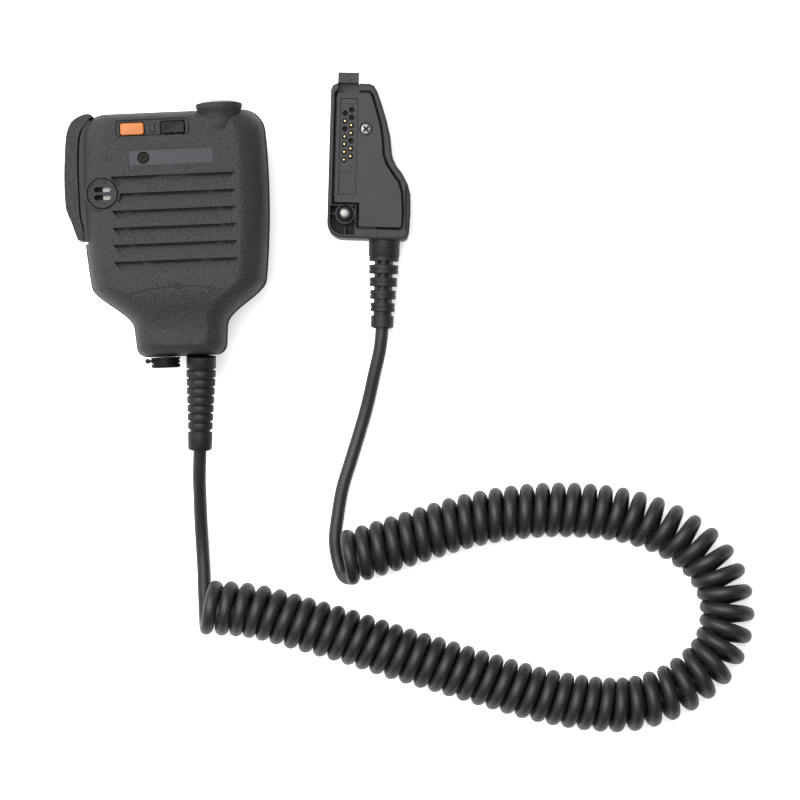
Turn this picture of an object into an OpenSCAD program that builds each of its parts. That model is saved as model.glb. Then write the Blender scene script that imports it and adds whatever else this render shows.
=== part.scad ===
// Speaker microphone with a curly cord and a side plug.
// It lies on its belt clip, front face up: +Y towards its top, +Z out of its face.

/* [Microphone case] */
// Half width of the case at its widest
case_half_w = 33.7; // [30:0.1:38]
// Half width of the narrow neck at the bottom
neck_half_w = 16.3; // [14:0.1:18]
// Y of the flat top of the case
case_top = 44.5; // [42:0.1:47]
// Y of the bottom of the neck
case_bottom = -43; // [-46:0.1:-40]
// Wall thickness of both case halves
wall = 2.4; // [2:0.1:3]
// Height of the flat front face
face_z = 41; // [39:0.1:43]

/* [Buttons] */
// Length and width of a front key
key_size = [8.3, 4.2]; // [3:0.1:9]
// How far a front key travels
key_travel = 0.8; // [0.4:0.1:0.9]
// Diameter of the round top button's collar
collar_d = 16.4; // [15:0.1:17]

/* [Speaker] */
// Outside diameter of the speaker frame
speaker_d = 36; // [30:0.5:38]
// Number of grille louvres
louvre_count = 6; // [3:1:7]
// Distance from one louvre to the next
louvre_pitch = 6.03; // [5:0.01:6.5]
// Width of a louvre
louvre_w = 43.8; // [30:0.1:46]

/* [Belt clip] */
// Width of the clip
clip_w = 25; // [18:0.5:30]
// Length of the outer arm
clip_len = 66; // [50:1:74]

/* [Plug] */
// Thickness of the plug from its back to its rim
plug_h = 15.6; // [14:0.1:18]
// Radius of the thumb screw's shaft
thumb_r = 2.2; // [1.8:0.1:2.6]
// Distance between contacts along a column
contact_pitch = 2.8; // [2.5:0.05:3]

/* [Cord] */
// Diameter of the cord
cord_d = 4.8; // [4:0.1:5.2]
// Outside diameter of the curly part
coil_d = 20; // [18:0.5:22]

/* [Hidden] */
$fn = 48;

eps = 0.01;
fit = 0.05;                      // radial clearance of a running fit
gap = 0.3;                       // clearance between pieces that move past each other
charcoal = [0.20, 0.20, 0.21];
black = [0.08, 0.08, 0.09];
rubber_grey = [0.13, 0.13, 0.14];
bright = [0.78, 0.78, 0.80];
brass = [0.83, 0.68, 0.36];
board_green = [0.10, 0.35, 0.20];

// ---- the case's outline ----
axis_x = 3;                      // the case's line of symmetry
rear_z = 10;                     // the case's back
parting_z = 23;                  // top of the rear half
seam = 0.8;                      // thickness of the rubber seal between the halves
front_z = parting_z + seam;
corner_r = 8;                    // top corners
foot_r = 3.5;                    // bottom corners
shoulder_top = -17;              // where the sides start to draw in
shoulder_len = 15.5;
barrel_y = 18.5;                 // widest place of the barrel-shaped sides
barrel_k = 23.5;

function clamp01(t) = max(0, min(1, t));
function ease(t) = t * t * (3 - 2 * t);
function corner(r, d) = d >= r ? 0 : r - sqrt(r * r - pow(r - max(d, 0), 2));
function half_w(y) = let(
        s = ease(clamp01((shoulder_top - y) / shoulder_len)),
        barrel = case_half_w - pow((y - barrel_y) / barrel_k, 2),
        neck = neck_half_w + (y + 38) * 0.08)
    barrel * (1 - s) + neck * s - corner(corner_r, case_top - y) - corner(foot_r, y - case_bottom);

// stations down one side, closer together round the corners and the shoulder
side_y = [
    for (a = [90:-30:0]) case_top - corner_r * (1 - sin(a)),
    22, 4, shoulder_top,
    for (i = [1:5]) shoulder_top - shoulder_len * i / 5,
    case_bottom + foot_r,
    for (a = [45:45:90]) case_bottom + foot_r * (1 - sin(a))
];
mid_y = (case_top + case_bottom) / 2;
half_len = (case_top - case_bottom) / 2;

// the outline drawn in by d at the sides and by a share of it at the ends, still with as many points
outer_share = 0.4;
room_share = 0.85;
function inset_x(y, d) = half_w(y) - d * (0.4 + 0.6 * half_w(y) / case_half_w);
function inset_y(y, d) = mid_y + (y - mid_y) * (1 - d / half_len);
function outline(d, share) = concat(
    [for (y = side_y) [axis_x + inset_x(y, d), inset_y(y, share * d)]],
    [for (i = [len(side_y) - 1:-1:0])
        [axis_x - inset_x(side_y[i], d), inset_y(side_y[i], share * d)]]);
module slab(d, z0, z1, share = outer_share)
    translate([0, 0, z0]) linear_extrude(z1 - z0) polygon(outline(d, share));

// [bottom, top, inset] of each step of the case, outside and inside
rear_steps = [[rear_z, rear_z + 1.6, 3.2], [rear_z + 1.6, rear_z + 4, 1.2], [rear_z + 4, parting_z, 0]];
front_steps = [[front_z, 30, 0.6], [30, 34, 1.6], [34, 37, 3], [37, 39.6, 5], [39.6, face_z, 8.2]];
rear_room = [[rear_z + wall, parting_z + 1, 3.6]];
front_room = [[front_z - 1, 34, 4], [34 - eps, face_z - wall, 7.6]];

module steps(list, share = outer_share) for (l = list) slab(l[2], l[0], l[1], share);

// ---- places shared by several pieces ----
panel = [axis_x - 6, 37.7];                // the two keys' bezel
panel_size = [26, 5.8];
orange_at = [axis_x - 13.2, 37.4];
black_at = [axis_x + 1.1, 37.4];
led_at = [axis_x - 5.9, 37.4];
label_at = [axis_x + 0.15, 27.1];
label_size = [30.2, 5.7];
ring_x = axis_x - 9.6;
port_at = [axis_x - 24.6, 15.1];           // the microphone's own port
port_r = 5.5;
louvre_top = 20.9;
louvre_x = axis_x + 0.4;
speaker_at = [axis_x + 0.4, 3.5];
knob_at = [axis_x + 17.5, 36];           // x and z of the top button's axis
knob_rim = 45.5;
jack_at = [-3, 23.4];                      // x and z of the jack's axis
gland_at = [9.8, 23.4];                    // x and z of the cord's entry
flange_r = 5.6;                            // the cord sleeve's flange
pivot = [-24.5, 37];                       // the talk bar's pin
pin_r = 0.8;
pin_z = [14, 35];
capsule_z = 33.4;                          // floor of the microphone capsule's pocket
port_z = 38.2;
talk_z = [16.5, 32.5];                     // height of the talk bar
swivel_at = [axis_x, 8];                   // the belt clip's swivel
hinge_at = [17.4, 5.2];                      // y and z of the belt clip's pin
screw_spots = [[-17, 29.5], [27, 29], [-24, -12], [30, -12]];

module rounded(size, r, h) {
    linear_extrude(h) for (m = [0:1]) union() {
        square([size[0] - 2 * r, size[1]], center = true);
        square([size[0], size[1] - 2 * r], center = true);
        for (x = [-1, 1], y = [-1, 1])
            translate([x * (size[0] / 2 - r), y * (size[1] / 2 - r)]) circle(r, $fn = 24);
    }
}

module along_y(x, y, z) translate([x, y, z]) rotate([-90, 0, 0]) children();

// ---- the microphone case ----
// space on the left flank that the talk bar and its boot move in
talk_face = -26.6;                         // inner face of the rubber boot
talk_wall = talk_face + 2;                 // outer face of the wall behind it
nub_at = [8, 22.5];                        // y and z of the nub that works the switch
eye_z = [20, 29];                          // height of the bar's eye round the pin
eye_r = 2.2;
module talk_recess() {
    translate([talk_wall - 20, -2.6, talk_z[0] - gap])
        cube([20, 50, talk_z[1] - talk_z[0] + 2 * gap]);
    translate([talk_wall - 1, nub_at[0], nub_at[1]]) rotate([0, 90, 0]) cylinder(r = 2.2, h = 4);
    // room for the bar's arm and its eye
    translate([pivot[0], pivot[1], eye_z[0] - gap]) cylinder(r = eye_r + gap, h = eye_z[1] - eye_z[0] + 2 * gap);
    translate([pivot[0] - 7, pivot[1] - 2.4, eye_z[0] - gap])
        cube([8.8, 7, eye_z[1] - eye_z[0] + 2 * gap]);
}

module case_ports() {
    along_y(jack_at[0], case_bottom - 1, jack_at[1]) cylinder(r = 4 + eps, h = 8);
    along_y(gland_at[0], case_bottom - 1, gland_at[1]) cylinder(r = flange_r + eps, h = 8);
}

module case_wall_left(z0, h) {
    translate([talk_wall - 4, -4.5, z0]) cube([6, 46, h]);
}

module front_shell() color(charcoal) difference() {
    union() {
        difference() {
            steps(front_steps);
            steps(front_room, room_share);
        }
        intersection() {
            steps(front_steps);
            union() {
                case_wall_left(front_z, 14);
                for (p = screw_spots) translate([p[0], p[1], front_z]) cylinder(r = 2.6, h = 15.4);
                translate([pivot[0], pivot[1], talk_z[1] + gap]) cylinder(r = 3, h = 5);
            }
        }
        // seat of the microphone port, standing up from the shoulder
        translate([port_at[0], port_at[1], capsule_z]) cylinder(r = port_r + 0.9, h = 40.8 - capsule_z);
    }
    talk_recess();
    case_ports();
    collar_solid(eps);
    translate([pivot[0], pivot[1], pin_z[0] - 0.5]) cylinder(r = pin_r + fit, h = pin_z[1] - pin_z[0] + 1);
    for (p = screw_spots) translate([p[0], p[1], front_z - 1]) cylinder(r = 1 + eps, h = 9);
    // bezel, keys and lamp
    translate([panel[0], panel[1], face_z - 1]) rounded(panel_size, 1.2, 3);
    for (p = [orange_at, black_at]) translate([p[0], p[1], 30])
        rounded([key_size[0] + 2 * gap, key_size[1] + 2 * gap], 0.8, 12);
    translate([led_at[0], led_at[1], 30]) rounded([1.5 + eps, 3 + eps], 0.7, 12);
    // label and its ring
    translate([label_at[0], label_at[1], face_z - 0.5]) rounded(label_size, 0.6, 3);
    translate([ring_x, label_at[1], 30]) cylinder(r = 2.1 + eps, h = 12);
    // microphone port
    translate([port_at[0], port_at[1], port_z]) cylinder(r = port_r + eps, h = 6);
    translate([port_at[0], port_at[1], capsule_z]) cylinder(r = 4.6 + eps, h = 6);
    // sound slots at the top edge of each louvre
    for (i = [0:louvre_count - 1])
        translate([louvre_x, louvre_top - louvre_pitch * i - 0.8, 36])
            cube([i < 2 ? louvre_w - 12 : louvre_w - 2, 1.2, 16], center = true);
}

module rear_shell() color(charcoal) difference() {
    union() {
        difference() {
            steps(rear_steps);
            steps(rear_room, room_share);
        }
        intersection() {
            steps(rear_steps);
            union() {
                case_wall_left(rear_z + 1, parting_z - rear_z - 1);
                for (p = screw_spots) translate([p[0], p[1], rear_z])
                    cylinder(r = 3.4, h = parting_z - rear_z);
                translate([swivel_at[0], swivel_at[1], rear_z]) cylinder(r = 6, h = 4.4);
                translate([pivot[0], pivot[1], rear_z]) cylinder(r = 3, h = talk_z[0] - rear_z - gap);
            }
        }
    }
    talk_recess();
    case_ports();
    for (p = screw_spots) translate([p[0], p[1], rear_z - 1]) {
        cylinder(r = 1.25, h = 20);
        cylinder(r = 2.4, h = 4);
    }
    translate([swivel_at[0], swivel_at[1], rear_z - 1]) cylinder(r = 1.6, h = 5);
    translate([pivot[0], pivot[1], pin_z[0] - 0.5]) cylinder(r = pin_r + fit, h = 10);
}

module shell_gasket() color(rubber_grey) difference() {
    slab(1.4, parting_z, front_z);
    slab(2.8, parting_z - 1, front_z + 1, room_share);
    talk_recess();
    case_ports();
    for (p = screw_spots) translate([p[0], p[1], parting_z - 1]) cylinder(r = 3.5, h = 3);
    translate([talk_wall - 5, -5, parting_z - 1]) cube([7.5, 40, 3]);
}

module case_screws() color(bright)
    for (p = screw_spots) translate([p[0], p[1], rear_z + 1]) {
        difference() {
            cylinder(r = 2.2, h = 1.9);
            for (a = [0, 90]) rotate(a) translate([-1.3, -0.25, -1]) cube([2.6, 0.5, 2]);
        }
        translate([0, 0, 1.8]) cylinder(r = 1, h = 18);
    }

// ---- the front face ----
module button_bezel() color(black) difference() {
    translate([panel[0], panel[1], face_z - 1]) rounded(panel_size, 1.2, 0.8);
    for (p = [orange_at, black_at]) translate([p[0], p[1], face_z - 2])
        rounded([key_size[0] + 2 * gap, key_size[1] + 2 * gap], 0.8, 3);
    translate([led_at[0], led_at[1], face_z - 2]) rounded([1.5 + eps, 3 + eps], 0.7, 3);
}

module key(p) {
    translate([p[0], p[1], 37.4]) rounded(key_size, 0.7, face_z + 0.5 - 37.4);
    translate([p[0], p[1], 36.6]) rounded([key_size[0] - 1, key_size[1] - 1], 0.5, 0.9);
}
module orange_button() color([0.98, 0.60, 0.33]) key(orange_at);
module black_button() color(black) key(black_at);

module led_lens() color([0.25, 0.26, 0.26])
    translate([led_at[0], led_at[1], 33.2]) rounded([1.5, 3], 0.7, face_z - 33.4);

module label_plate() color(charcoal) difference() {
    translate([label_at[0], label_at[1], face_z - 0.5]) rounded(label_size, 0.6, 0.35);
    translate([ring_x, label_at[1], face_z - 2]) cylinder(r = 2.1 + eps, h = 3);
}

module indicator_ring() color(black) translate([ring_x, label_at[1], face_z - 2.6]) difference() {
    cylinder(r = 2.1, h = 2.7);
    translate([0, 0, 1.5]) cylinder(r = 0.7, h = 2);
}

module microphone_port() color(charcoal) difference() {
    translate([port_at[0], port_at[1], port_z]) cylinder(r = port_r, h = 2.4);
    for (y = [-1.4, 1.4]) translate([port_at[0], port_at[1] + y, 38])
        rounded([5.8, 1.8], 0.85, 4);
}
module microphone_mesh() color(bright) translate([port_at[0], port_at[1], 37.5])
    cylinder(r = 4.6, h = 0.6);
module microphone_capsule() color(bright) translate([port_at[0], port_at[1], capsule_z + 1])
    cylinder(r = 3.4, h = 2.9);
module capsule_boot() color(rubber_grey) translate([port_at[0], port_at[1], capsule_z])
    difference() {
        cylinder(r = 4.6, h = 4);
        translate([0, 0, 1]) cylinder(r = 3.4, h = 10);
    }

// ---- the speaker ----
module speaker_basket() color(black) translate([speaker_at[0], speaker_at[1], 27])
    difference() {
        union() {
            cylinder(r = 11.5, h = 4);
            translate([0, 0, 4 - eps]) cylinder(r1 = 11.5, r2 = speaker_d / 2 - 1, h = 5, $fn = 48);
            translate([0, 0, 9 - 2 * eps]) cylinder(r = speaker_d / 2, h = 1.6);
        }
        translate([0, 0, 1]) cylinder(r = 10.2, h = 3.1);
        translate([0, 0, 4]) cylinder(r1 = 10.2, r2 = speaker_d / 2 - 2, h = 5.2, $fn = 48);
        translate([0, 0, 9]) cylinder(r = speaker_d / 2 - 2, h = 3);
    }
module speaker_magnet() color(bright) translate([speaker_at[0], speaker_at[1], 20.5])
    cylinder(r = 10, h = 6.5);
module speaker_cone() color([0.12, 0.12, 0.12]) translate([speaker_at[0], speaker_at[1], 33])
    rotate_extrude() polygon([[0, 1.8], [4, 1.2], [5, 0], [15.8, 3.6], [15.8, 4],
        [14.4, 4], [5, 0.6], [4, 1.8], [0, 2.4]]);
module speaker_gasket() color(rubber_grey)
    translate([speaker_at[0], speaker_at[1], 37.6 - 2 * eps]) difference() {
        cylinder(r = speaker_d / 2, h = 0.8);
        translate([0, 0, -1]) cylinder(r = speaker_d / 2 - 1.8, h = 3);
    }

// ---- boards and switches ----
module circuit_board() color(board_green) difference() {
    translate([0, 0, 16.4]) linear_extrude(1.6) polygon([[-20.5, 33], [-20.5, -18],
        [-9, -27], [-9, -36], [15, -36], [15, -27], [26, -18], [26, 33]]);
    for (p = screw_spots) translate([p[0], p[1], 15]) cylinder(r = 3.7, h = 4);
    translate([pivot[0], pivot[1], 15]) cylinder(r = 5, h = 4);
}
module button_board() color(board_green) translate([axis_x - 19, 34.6, 31.4])
    cube([25.5, 6, 1.2]);
module button_switches() color(bright) for (p = [orange_at, black_at]) {
    translate([p[0] - 2.2, p[1] - 2.2, 32.6]) cube([4.4, 4.4, 2.2]);
    translate([p[0], p[1], 34.7]) cylinder(r = 1.2, h = 0.9);
}
module ptt_switch() color(black) {
    translate([-20.5, 2, 19]) cube([6, 12, 7]);
    translate([-22.2, nub_at[0], nub_at[1]]) rotate([0, 90, 0]) cylinder(r = 1, h = 2);
}
module top_switch() color(black) {
    translate([knob_at[0] - 3, 24, knob_at[1] - 10]) cube([6, 4, 6]);
    along_y(knob_at[0], 27.9, knob_at[1] - 6) cylinder(r = 1.2, h = 1);
}

// ---- the talk bar ----
module talk_slab(points, z0, z1) translate([0, 0, z0]) linear_extrude(z1 - z0) polygon(points);

bar_outline = [[-32, 0.2], [-31.2, -0.6], [-29.8, 0.4], [-30, 4], [-30.8, 8], [-31, 20],
    [-30.6, 32], [-29.4, 38], [-26.8, 42.6], [-25, 43.6], [-26.8, 44.2], [-29.4, 43.6],
    [-32.6, 41.6], [-34.6, 38], [-35.6, 33], [-36.6, 22], [-36.6, 13], [-36, 9.6], [-34, 5]];
boot_outline = [[-29.6, 0.4], [-28, -1.4], [-26.8, -0.6], [talk_face, 4], [talk_face, 34],
    [-26.4, 38], [-25, 40.6], [-26.6, 42.4], [-29.2, 38], [-30.4, 32], [-30.8, 20],
    [-30.6, 8], [-29.8, 4]];

module ptt_bar() color(charcoal) difference() {
    union() {
        talk_slab(bar_outline, talk_z[0], talk_z[1]);
        translate([0, 0, eye_z[0]]) linear_extrude(eye_z[1] - eye_z[0])
            polygon([[-30.6, 36.2], [-28.4, 41], pivot + [1.2, 1.6], pivot + [1.2, -1.8]]);
        translate([pivot[0], pivot[1], eye_z[0]]) cylinder(r = eye_r, h = eye_z[1] - eye_z[0]);
    }
    translate([pivot[0], pivot[1], pin_z[0]]) cylinder(r = pin_r + fit, h = pin_z[1] - pin_z[0]);
}
module ptt_boot() color(rubber_grey) difference() {
    union() {
        talk_slab(boot_outline, talk_z[0] + 0.6, talk_z[1] - 0.6);
        translate([talk_face - 1, nub_at[0], nub_at[1]]) rotate([0, 90, 0]) cylinder(r = 1.6, h = 3.4);
    }
    translate([-31, 34.6, 19.8]) cube([8, 9, 9.4]);
}
module ptt_pin() color(bright)
    translate([pivot[0], pivot[1], pin_z[0]]) cylinder(r = pin_r, h = pin_z[1] - pin_z[0]);

// ---- the round button on top ----
// the collar narrows to a neck that sits in the front half; grow leaves room round it
stem_r = 2.3;
module collar_solid(grow) along_y(knob_at[0], knob_rim, knob_at[1]) rotate([180, 0, 0]) {
    cylinder(r = collar_d / 2 + grow, h = 1.6);
    translate([0, 0, 1.6 - eps]) cylinder(r1 = collar_d / 2 + grow, r2 = 4.4 + grow, h = 6.5);
    cylinder(r = 4.4 + grow, h = 10.5);
}
module button_collar() color(charcoal) difference() {
    collar_solid(0);
    along_y(knob_at[0], 30, knob_at[1]) cylinder(r = stem_r + fit, h = 20);
    along_y(knob_at[0], knob_rim - 2.2, knob_at[1]) cylinder(r = 7.3, h = 4);
}
module top_button() color([0.62, 0.62, 0.63]) along_y(knob_at[0], 0, knob_at[1]) {
    translate([0, 0, knob_rim - 1.2]) rotate_extrude()
        polygon([[0, 0], [7, 0], [7, 1.3], [5.4, 1.95], [3, 2.4], [0, 2.6]]);
    translate([0, 0, 31]) cylinder(r = stem_r, h = knob_rim - 31 - 1.2 + eps);
}

// ---- the bottom: jack, cap and cord entry ----
module jack_socket() color(black) difference() {
    union() {
        along_y(jack_at[0], case_bottom, jack_at[1]) cylinder(r = 4, h = 4);
        translate([jack_at[0] - 4, case_bottom + 4 - eps, 19]) cube([8, 11, 8]);
    }
    along_y(jack_at[0], case_bottom - 1, jack_at[1]) cylinder(r = 1.8, h = 13);
}
cap_pivot = [-9.4, -44.4];
module jack_cap() color(black) {
    along_y(jack_at[0], -47, jack_at[1]) difference() {
        union() {
            cylinder(r = 5.2, h = 1.6);
            translate([0, 0, 1.6 - eps]) cylinder(r = 4.8, h = 0.5);
            translate([0, 0, 2.1 - 2 * eps]) cylinder(r = 5.2, h = 1.5);
        }
        translate([0, 0, 2]) cylinder(r = 3.6, h = 3);
    }
    translate([cap_pivot[0], cap_pivot[1], jack_at[1] - 1.5]) cylinder(r = 0.9, h = 3);
    translate([cap_pivot[0], cap_pivot[1] - 0.5, jack_at[1] - 1.5]) cube([2.6, 1, 3]);
}

// the sleeve's own axis: out of the case, a little down and to the left
gland_end = [7.6, -76.8, 18.6];
gland_start = [gland_at[0], case_bottom, gland_at[1]];
gland_len = norm(gland_end - gland_start);
function tilt(v) = [0, acos(v[2] / norm(v)), atan2(v[1], v[0])];
module mic_strain_relief() color(black) {
    difference() {
        translate(gland_start) rotate(tilt(gland_end - gland_start)) difference() {
            union() {
                cylinder(r = 3.6, h = gland_len);
                cylinder(r = 5.3, h = 4.7);
                for (i = [0:6])
                    translate([0, 0, 5.6 + i * 3.14]) cylinder(r = 5.3 - i * 0.15, h = 2.1);
                translate([0, 0, gland_len - 6.3]) cylinder(r = 4.3, h = 6.3);
            }
        }
        translate([-20, case_bottom - 0.4, 0]) cube([60, 10, 50]);
    }
    // flange in the wall of the case, and a wider one inside that holds it there
    along_y(gland_at[0], case_bottom - 0.8, gland_at[1]) cylinder(r = flange_r, h = 4.6);
    along_y(gland_at[0], case_bottom + 3.7, gland_at[1]) cylinder(r = 4, h = 3);
}

// ---- the belt clip ----
arm_t = 2;
plate_z = 7.4;
plate_t = 1.6;
module clip_boss() color(black) translate([swivel_at[0], swivel_at[1], plate_z - 0.2])
    difference() {
        union() {
            cylinder(r = 5, h = rear_z - plate_z + 0.2);
            translate([0, 0, 0.2 + plate_t + gap]) cylinder(r = 9, h = rear_z - plate_z - plate_t - gap);
        }
        translate([0, 0, -1]) cylinder(r = 1.6, h = 6);
    }
module clip_screw() color(bright) translate([swivel_at[0], swivel_at[1], plate_z - 1.7]) {
    difference() {
        cylinder(r = 6.6, h = 1.5 - eps);
        for (a = [0, 90]) rotate(a) translate([-2, -0.4, -1]) cube([4, 0.8, 1.9]);
    }
    cylinder(r = 1.55, h = 7);
}
module clip_base() color(bright) {
    difference() {
        translate([axis_x, -4, plate_z]) rounded([clip_w, 50], 4, plate_t);
        translate([swivel_at[0], swivel_at[1], plate_z - 1]) cylinder(r = 5 + fit, h = 4);
    }
    // ears that carry the pin, and the lip that the arm closes on
    for (s = [-1, 1]) difference() {
        translate([axis_x + s * (clip_w / 2 - 1) - 1, hinge_at[0] - 3, hinge_at[1] - 2])
            cube([2, 6, plate_z - hinge_at[1] + 2 + eps]);
        translate([axis_x - 20, hinge_at[0], hinge_at[1]]) rotate([0, 90, 0]) cylinder(r = 1, h = 40);
    }
    translate([axis_x - clip_w / 2 + 3, -28.9, plate_z - 1.4]) cube([clip_w - 6, 1.4, 1.4 + eps]);
}
module clip_pin() color(bright) translate([axis_x - clip_w / 2, hinge_at[0], hinge_at[1]])
    rotate([0, 90, 0]) cylinder(r = 1, h = clip_w);
module clip_arm() color(bright) {
    translate([axis_x, -9, 0]) rounded([clip_w, clip_len - 18], 5, arm_t);
    // the thumb end stands clear of whatever the clip rests on
    translate([axis_x - clip_w / 2, 14.6, 0.5]) cube([clip_w, 12, arm_t - 0.5]);
    for (s = [-1, 1]) difference() {
        translate([axis_x + s * (clip_w / 2 - 3.5) - 1, hinge_at[0], hinge_at[1]]) {
            rotate([0, 90, 0]) cylinder(r = 2, h = 2);
            translate([0, -2, arm_t - hinge_at[1] - eps]) cube([2, 4, hinge_at[1] - arm_t]);
        }
        translate([axis_x - 20, hinge_at[0], hinge_at[1]]) rotate([0, 90, 0])
            cylinder(r = 1 + fit, h = 40);
    }
    for (i = [-2:2]) translate([axis_x + i * 4 - 1, -31.6, arm_t - eps]) cube([2, 1.6, 3.6]);
}
module clip_spring() color(bright) for (i = [-4:4])
    translate([axis_x + i * 1.1, hinge_at[0], hinge_at[1]]) rotate([0, 90, 0]) rotate_extrude()
        translate([1.6, 0]) circle(0.45, $fn = 16);

// ---- the cord ----
// the mic's lead, the curl's middle line and the plug's lead, point by point
mic_route = [gland_end, [6.7, -86.5, 14.4], [6.3, -95, 9.6], [6, -104, 5.4], [6, -113, 3],
    [6.4, -121.5, 2.5], [6.7, -132.5, 2.5]];
coil_route = [[7, -134, 10.1], [23.5, -136, 10.1], [41, -141.3, 10.1], [58.3, -147, 10.1],
    [75.3, -153.4, 10.1], [92.6, -159.3, 10.1], [110, -165.4, 10.1], [127.3, -171, 10.1],
    [145.4, -174.8, 10.1], [160, -175.4, 10.1], [174, -171.5, 10.1], [184.7, -165, 10.1],
    [191.1, -158.2, 10.1], [194.7, -149, 10.1], [195.2, -139.4, 10.1], [192.2, -129.4, 10.1],
    [185.4, -120.3, 10.1], [173.6, -112.3, 10.1], [159.7, -107.2, 10.1], [145.5, -104.8, 10.1],
    [130.8, -104, 10.1], [116, -104.8, 10.1], [101.7, -107, 10.1], [87.7, -110.6, 10.1],
    [73.2, -114.5, 10.1], [58, -118.5, 10.1]];
plug_route = [[74.8, -35.6, 8], [71.5, -50, 6.4], [68.3, -63, 3.8], [65, -73, 2.8],
    [61.4, -83.2, 2.5], [57.9, -93.2, 2.5], [55.7, -103.3, 2.5], [54.6, -109, 2.5]];

// a closed skin over rings with the same number of points, lowest first
module skin(rings) {
    n = len(rings[0]);
    polyhedron(
        points = [for (r = rings) each r],
        faces = concat(
            [[for (i = [0:n - 1]) i]],
            [for (k = [0:len(rings) - 2]) for (i = [0:n - 1]) each [
                [k * n + i, (k + 1) * n + i, (k + 1) * n + (i + 1) % n],
                [k * n + i, (k + 1) * n + (i + 1) % n, k * n + (i + 1) % n]]],
            [[for (i = [n - 1:-1:0]) (len(rings) - 1) * n + i]]));
}

// a tube along a route, as one closed skin
function unit(v) = v / norm(v);
function heading(p, i) = unit(p[min(i + 1, len(p) - 1)] - p[max(i - 1, 0)]);
function cord_ring(c, t, r, n) = let(s = unit(cross(t, [0, 0, 1])), u = cross(s, t))
    [for (k = [0:n - 1]) c + r * (cos(360 * (k + 0.5) / n) * s + sin(360 * (k + 0.5) / n) * u)];
module tube(route, r, n) skin([for (i = [0:len(route) - 1])
    cord_ring(route[i], heading(route, i), r, n)]);

module cord_mic_lead() color(black) tube(mic_route, cord_d / 2, 8);
module cord_coil() color(black) tube(coil_route, coil_d / 2, 12);
module cord_plug_lead() color(black) tube(plug_route, cord_d / 2, 8);

// ---- the plug, drawn about its own middle ----
plug_at = [73.1, 26.5, 0];
plug_turn = -4;
plug_outline = [
    [-14.8, 23.5], [-14.1, 25.2], [-12.3, 26], [-0.8, 26], [0.9, 25.2], [2.2, 23],
    [4, 18], [5.8, 12.4], [7.2, 7], [7.9, 1], [8.4, -1], [9.8, -3.6], [12, -6.3],
    [13.9, -9.8], [15, -13.6], [15.2, -20], [14.9, -27], [14.2, -29.3], [12.6, -30],
    for (a = [0:22.5:90]) [-9.3 - 5.5 * sin(a), -24.5 - 5.5 * cos(a)]];
cover_outline = [
    [-13.2, 22.4], [-12.4, 23.2], [-0.6, 23.2], [0.6, 22], [2.2, 17], [3.8, 11.8],
    [4.8, 6], [5.3, 0.4], [6.4, -2.6], [8.6, -5.8], [11, -9], [12.3, -13], [12.8, -20],
    [12.6, -25.6], [11.8, -26.4], [-3.4, -26.4], [-4.2, -25.8], [-4.2, -17.8], [-13.2, -17.8]];
strip_mid = [-8.05, 3.1];
strip_size = [8.1, 34.6];
plug_screw_at = [-1.7, 9.6];
thumb_at = [-8.4, -21.2];
thumb_top = 18.6;                          // the screw's tip
sleeve_at = [6, 8];                        // x and z of the plug's cord entry
// columns of contacts, nearest the plug's middle first: 1 is a pin, 0 an empty hole
columns = [[-7.05, 16.4, [0, 0, 1, 1, 0, 1, 1]], [-9.35, 15.1, [0, 1, 0, 1, 1, 1, 1]]];

module at_plug() translate(plug_at) rotate(plug_turn) children();
module contacts(kinds) for (c = columns, i = [0:6])
    if (kinds == c[2][i] || kinds == 2) translate([c[0], c[1] - contact_pitch * i, 0]) children();

module plug_shell() color(charcoal) at_plug() difference() {
    union() {
        difference() {
            linear_extrude(plug_h) polygon(plug_outline);
            translate([0, 0, 3]) linear_extrude(20) polygon(cover_outline);
        }
        translate([plug_screw_at[0], plug_screw_at[1], 2.9]) cylinder(r = 2.2, h = 9.7);
        // ledge under the cover
        translate([-12.4, 21.4, 2.9]) cube([12, 2, 9.7]);
        translate([-3.4, -26.4, 2.9]) cube([8, 1.2, 9.7]);
        // the hook on top
        translate([-12.3, 25.9, 8.6]) cube([7, 4.5, 5.6]);
    }
    // pocket round the thumb screw's boss
    translate([thumb_at[0], thumb_at[1], 0]) {
        difference() {
            translate([-3.8, -6.6, 9]) cube([7.4, 9.6, 10]);
            cylinder(r = 3.6, h = 14.6);
        }
        translate([0, 0, -1]) cylinder(r = thumb_r + fit, h = 20);
        translate([0, 0, -1]) cylinder(r = 5.8, h = 6.2);
        translate([0, 0, 11]) cylinder(r = 3.1, h = 6);
    }
    translate([plug_screw_at[0], plug_screw_at[1], 5]) cylinder(r = 1.05, h = 10);
    along_y(sleeve_at[0], -34, sleeve_at[1]) cylinder(r = 5.5 + eps, h = 9);
}

module plug_cover() color(charcoal) at_plug() difference() {
    translate([0, 0, 12.6]) linear_extrude(2.2) polygon(cover_outline);
    translate([strip_mid[0], strip_mid[1], 12]) cube([strip_size[0], strip_size[1], 9], center = true);
    translate([plug_screw_at[0], plug_screw_at[1], 12]) cylinder(r = 1.05, h = 2);
    translate([plug_screw_at[0], plug_screw_at[1], 13.8]) cylinder(r = 2.3, h = 3);
}

module contact_block() color(black) at_plug() difference() {
    union() {
        translate([strip_mid[0], strip_mid[1], 11.2])
            cube([strip_size[0] - 0.1, strip_size[1] - 0.1, 6], center = true);
        translate([strip_mid[0], 19.4, 14.2]) rounded([5, 1.7], 0.7, 0.4);
        translate([-8.5, -4.7, 14.2]) rounded([3.3, 2.6], 0.2, 0.3);
    }
    contacts(2) {
        translate([0, 0, 5]) cylinder(r = 0.8 + fit, h = 12);
        translate([0, 0, 13.7]) cylinder(r = 1.05, h = 2);
    }
}

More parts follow.
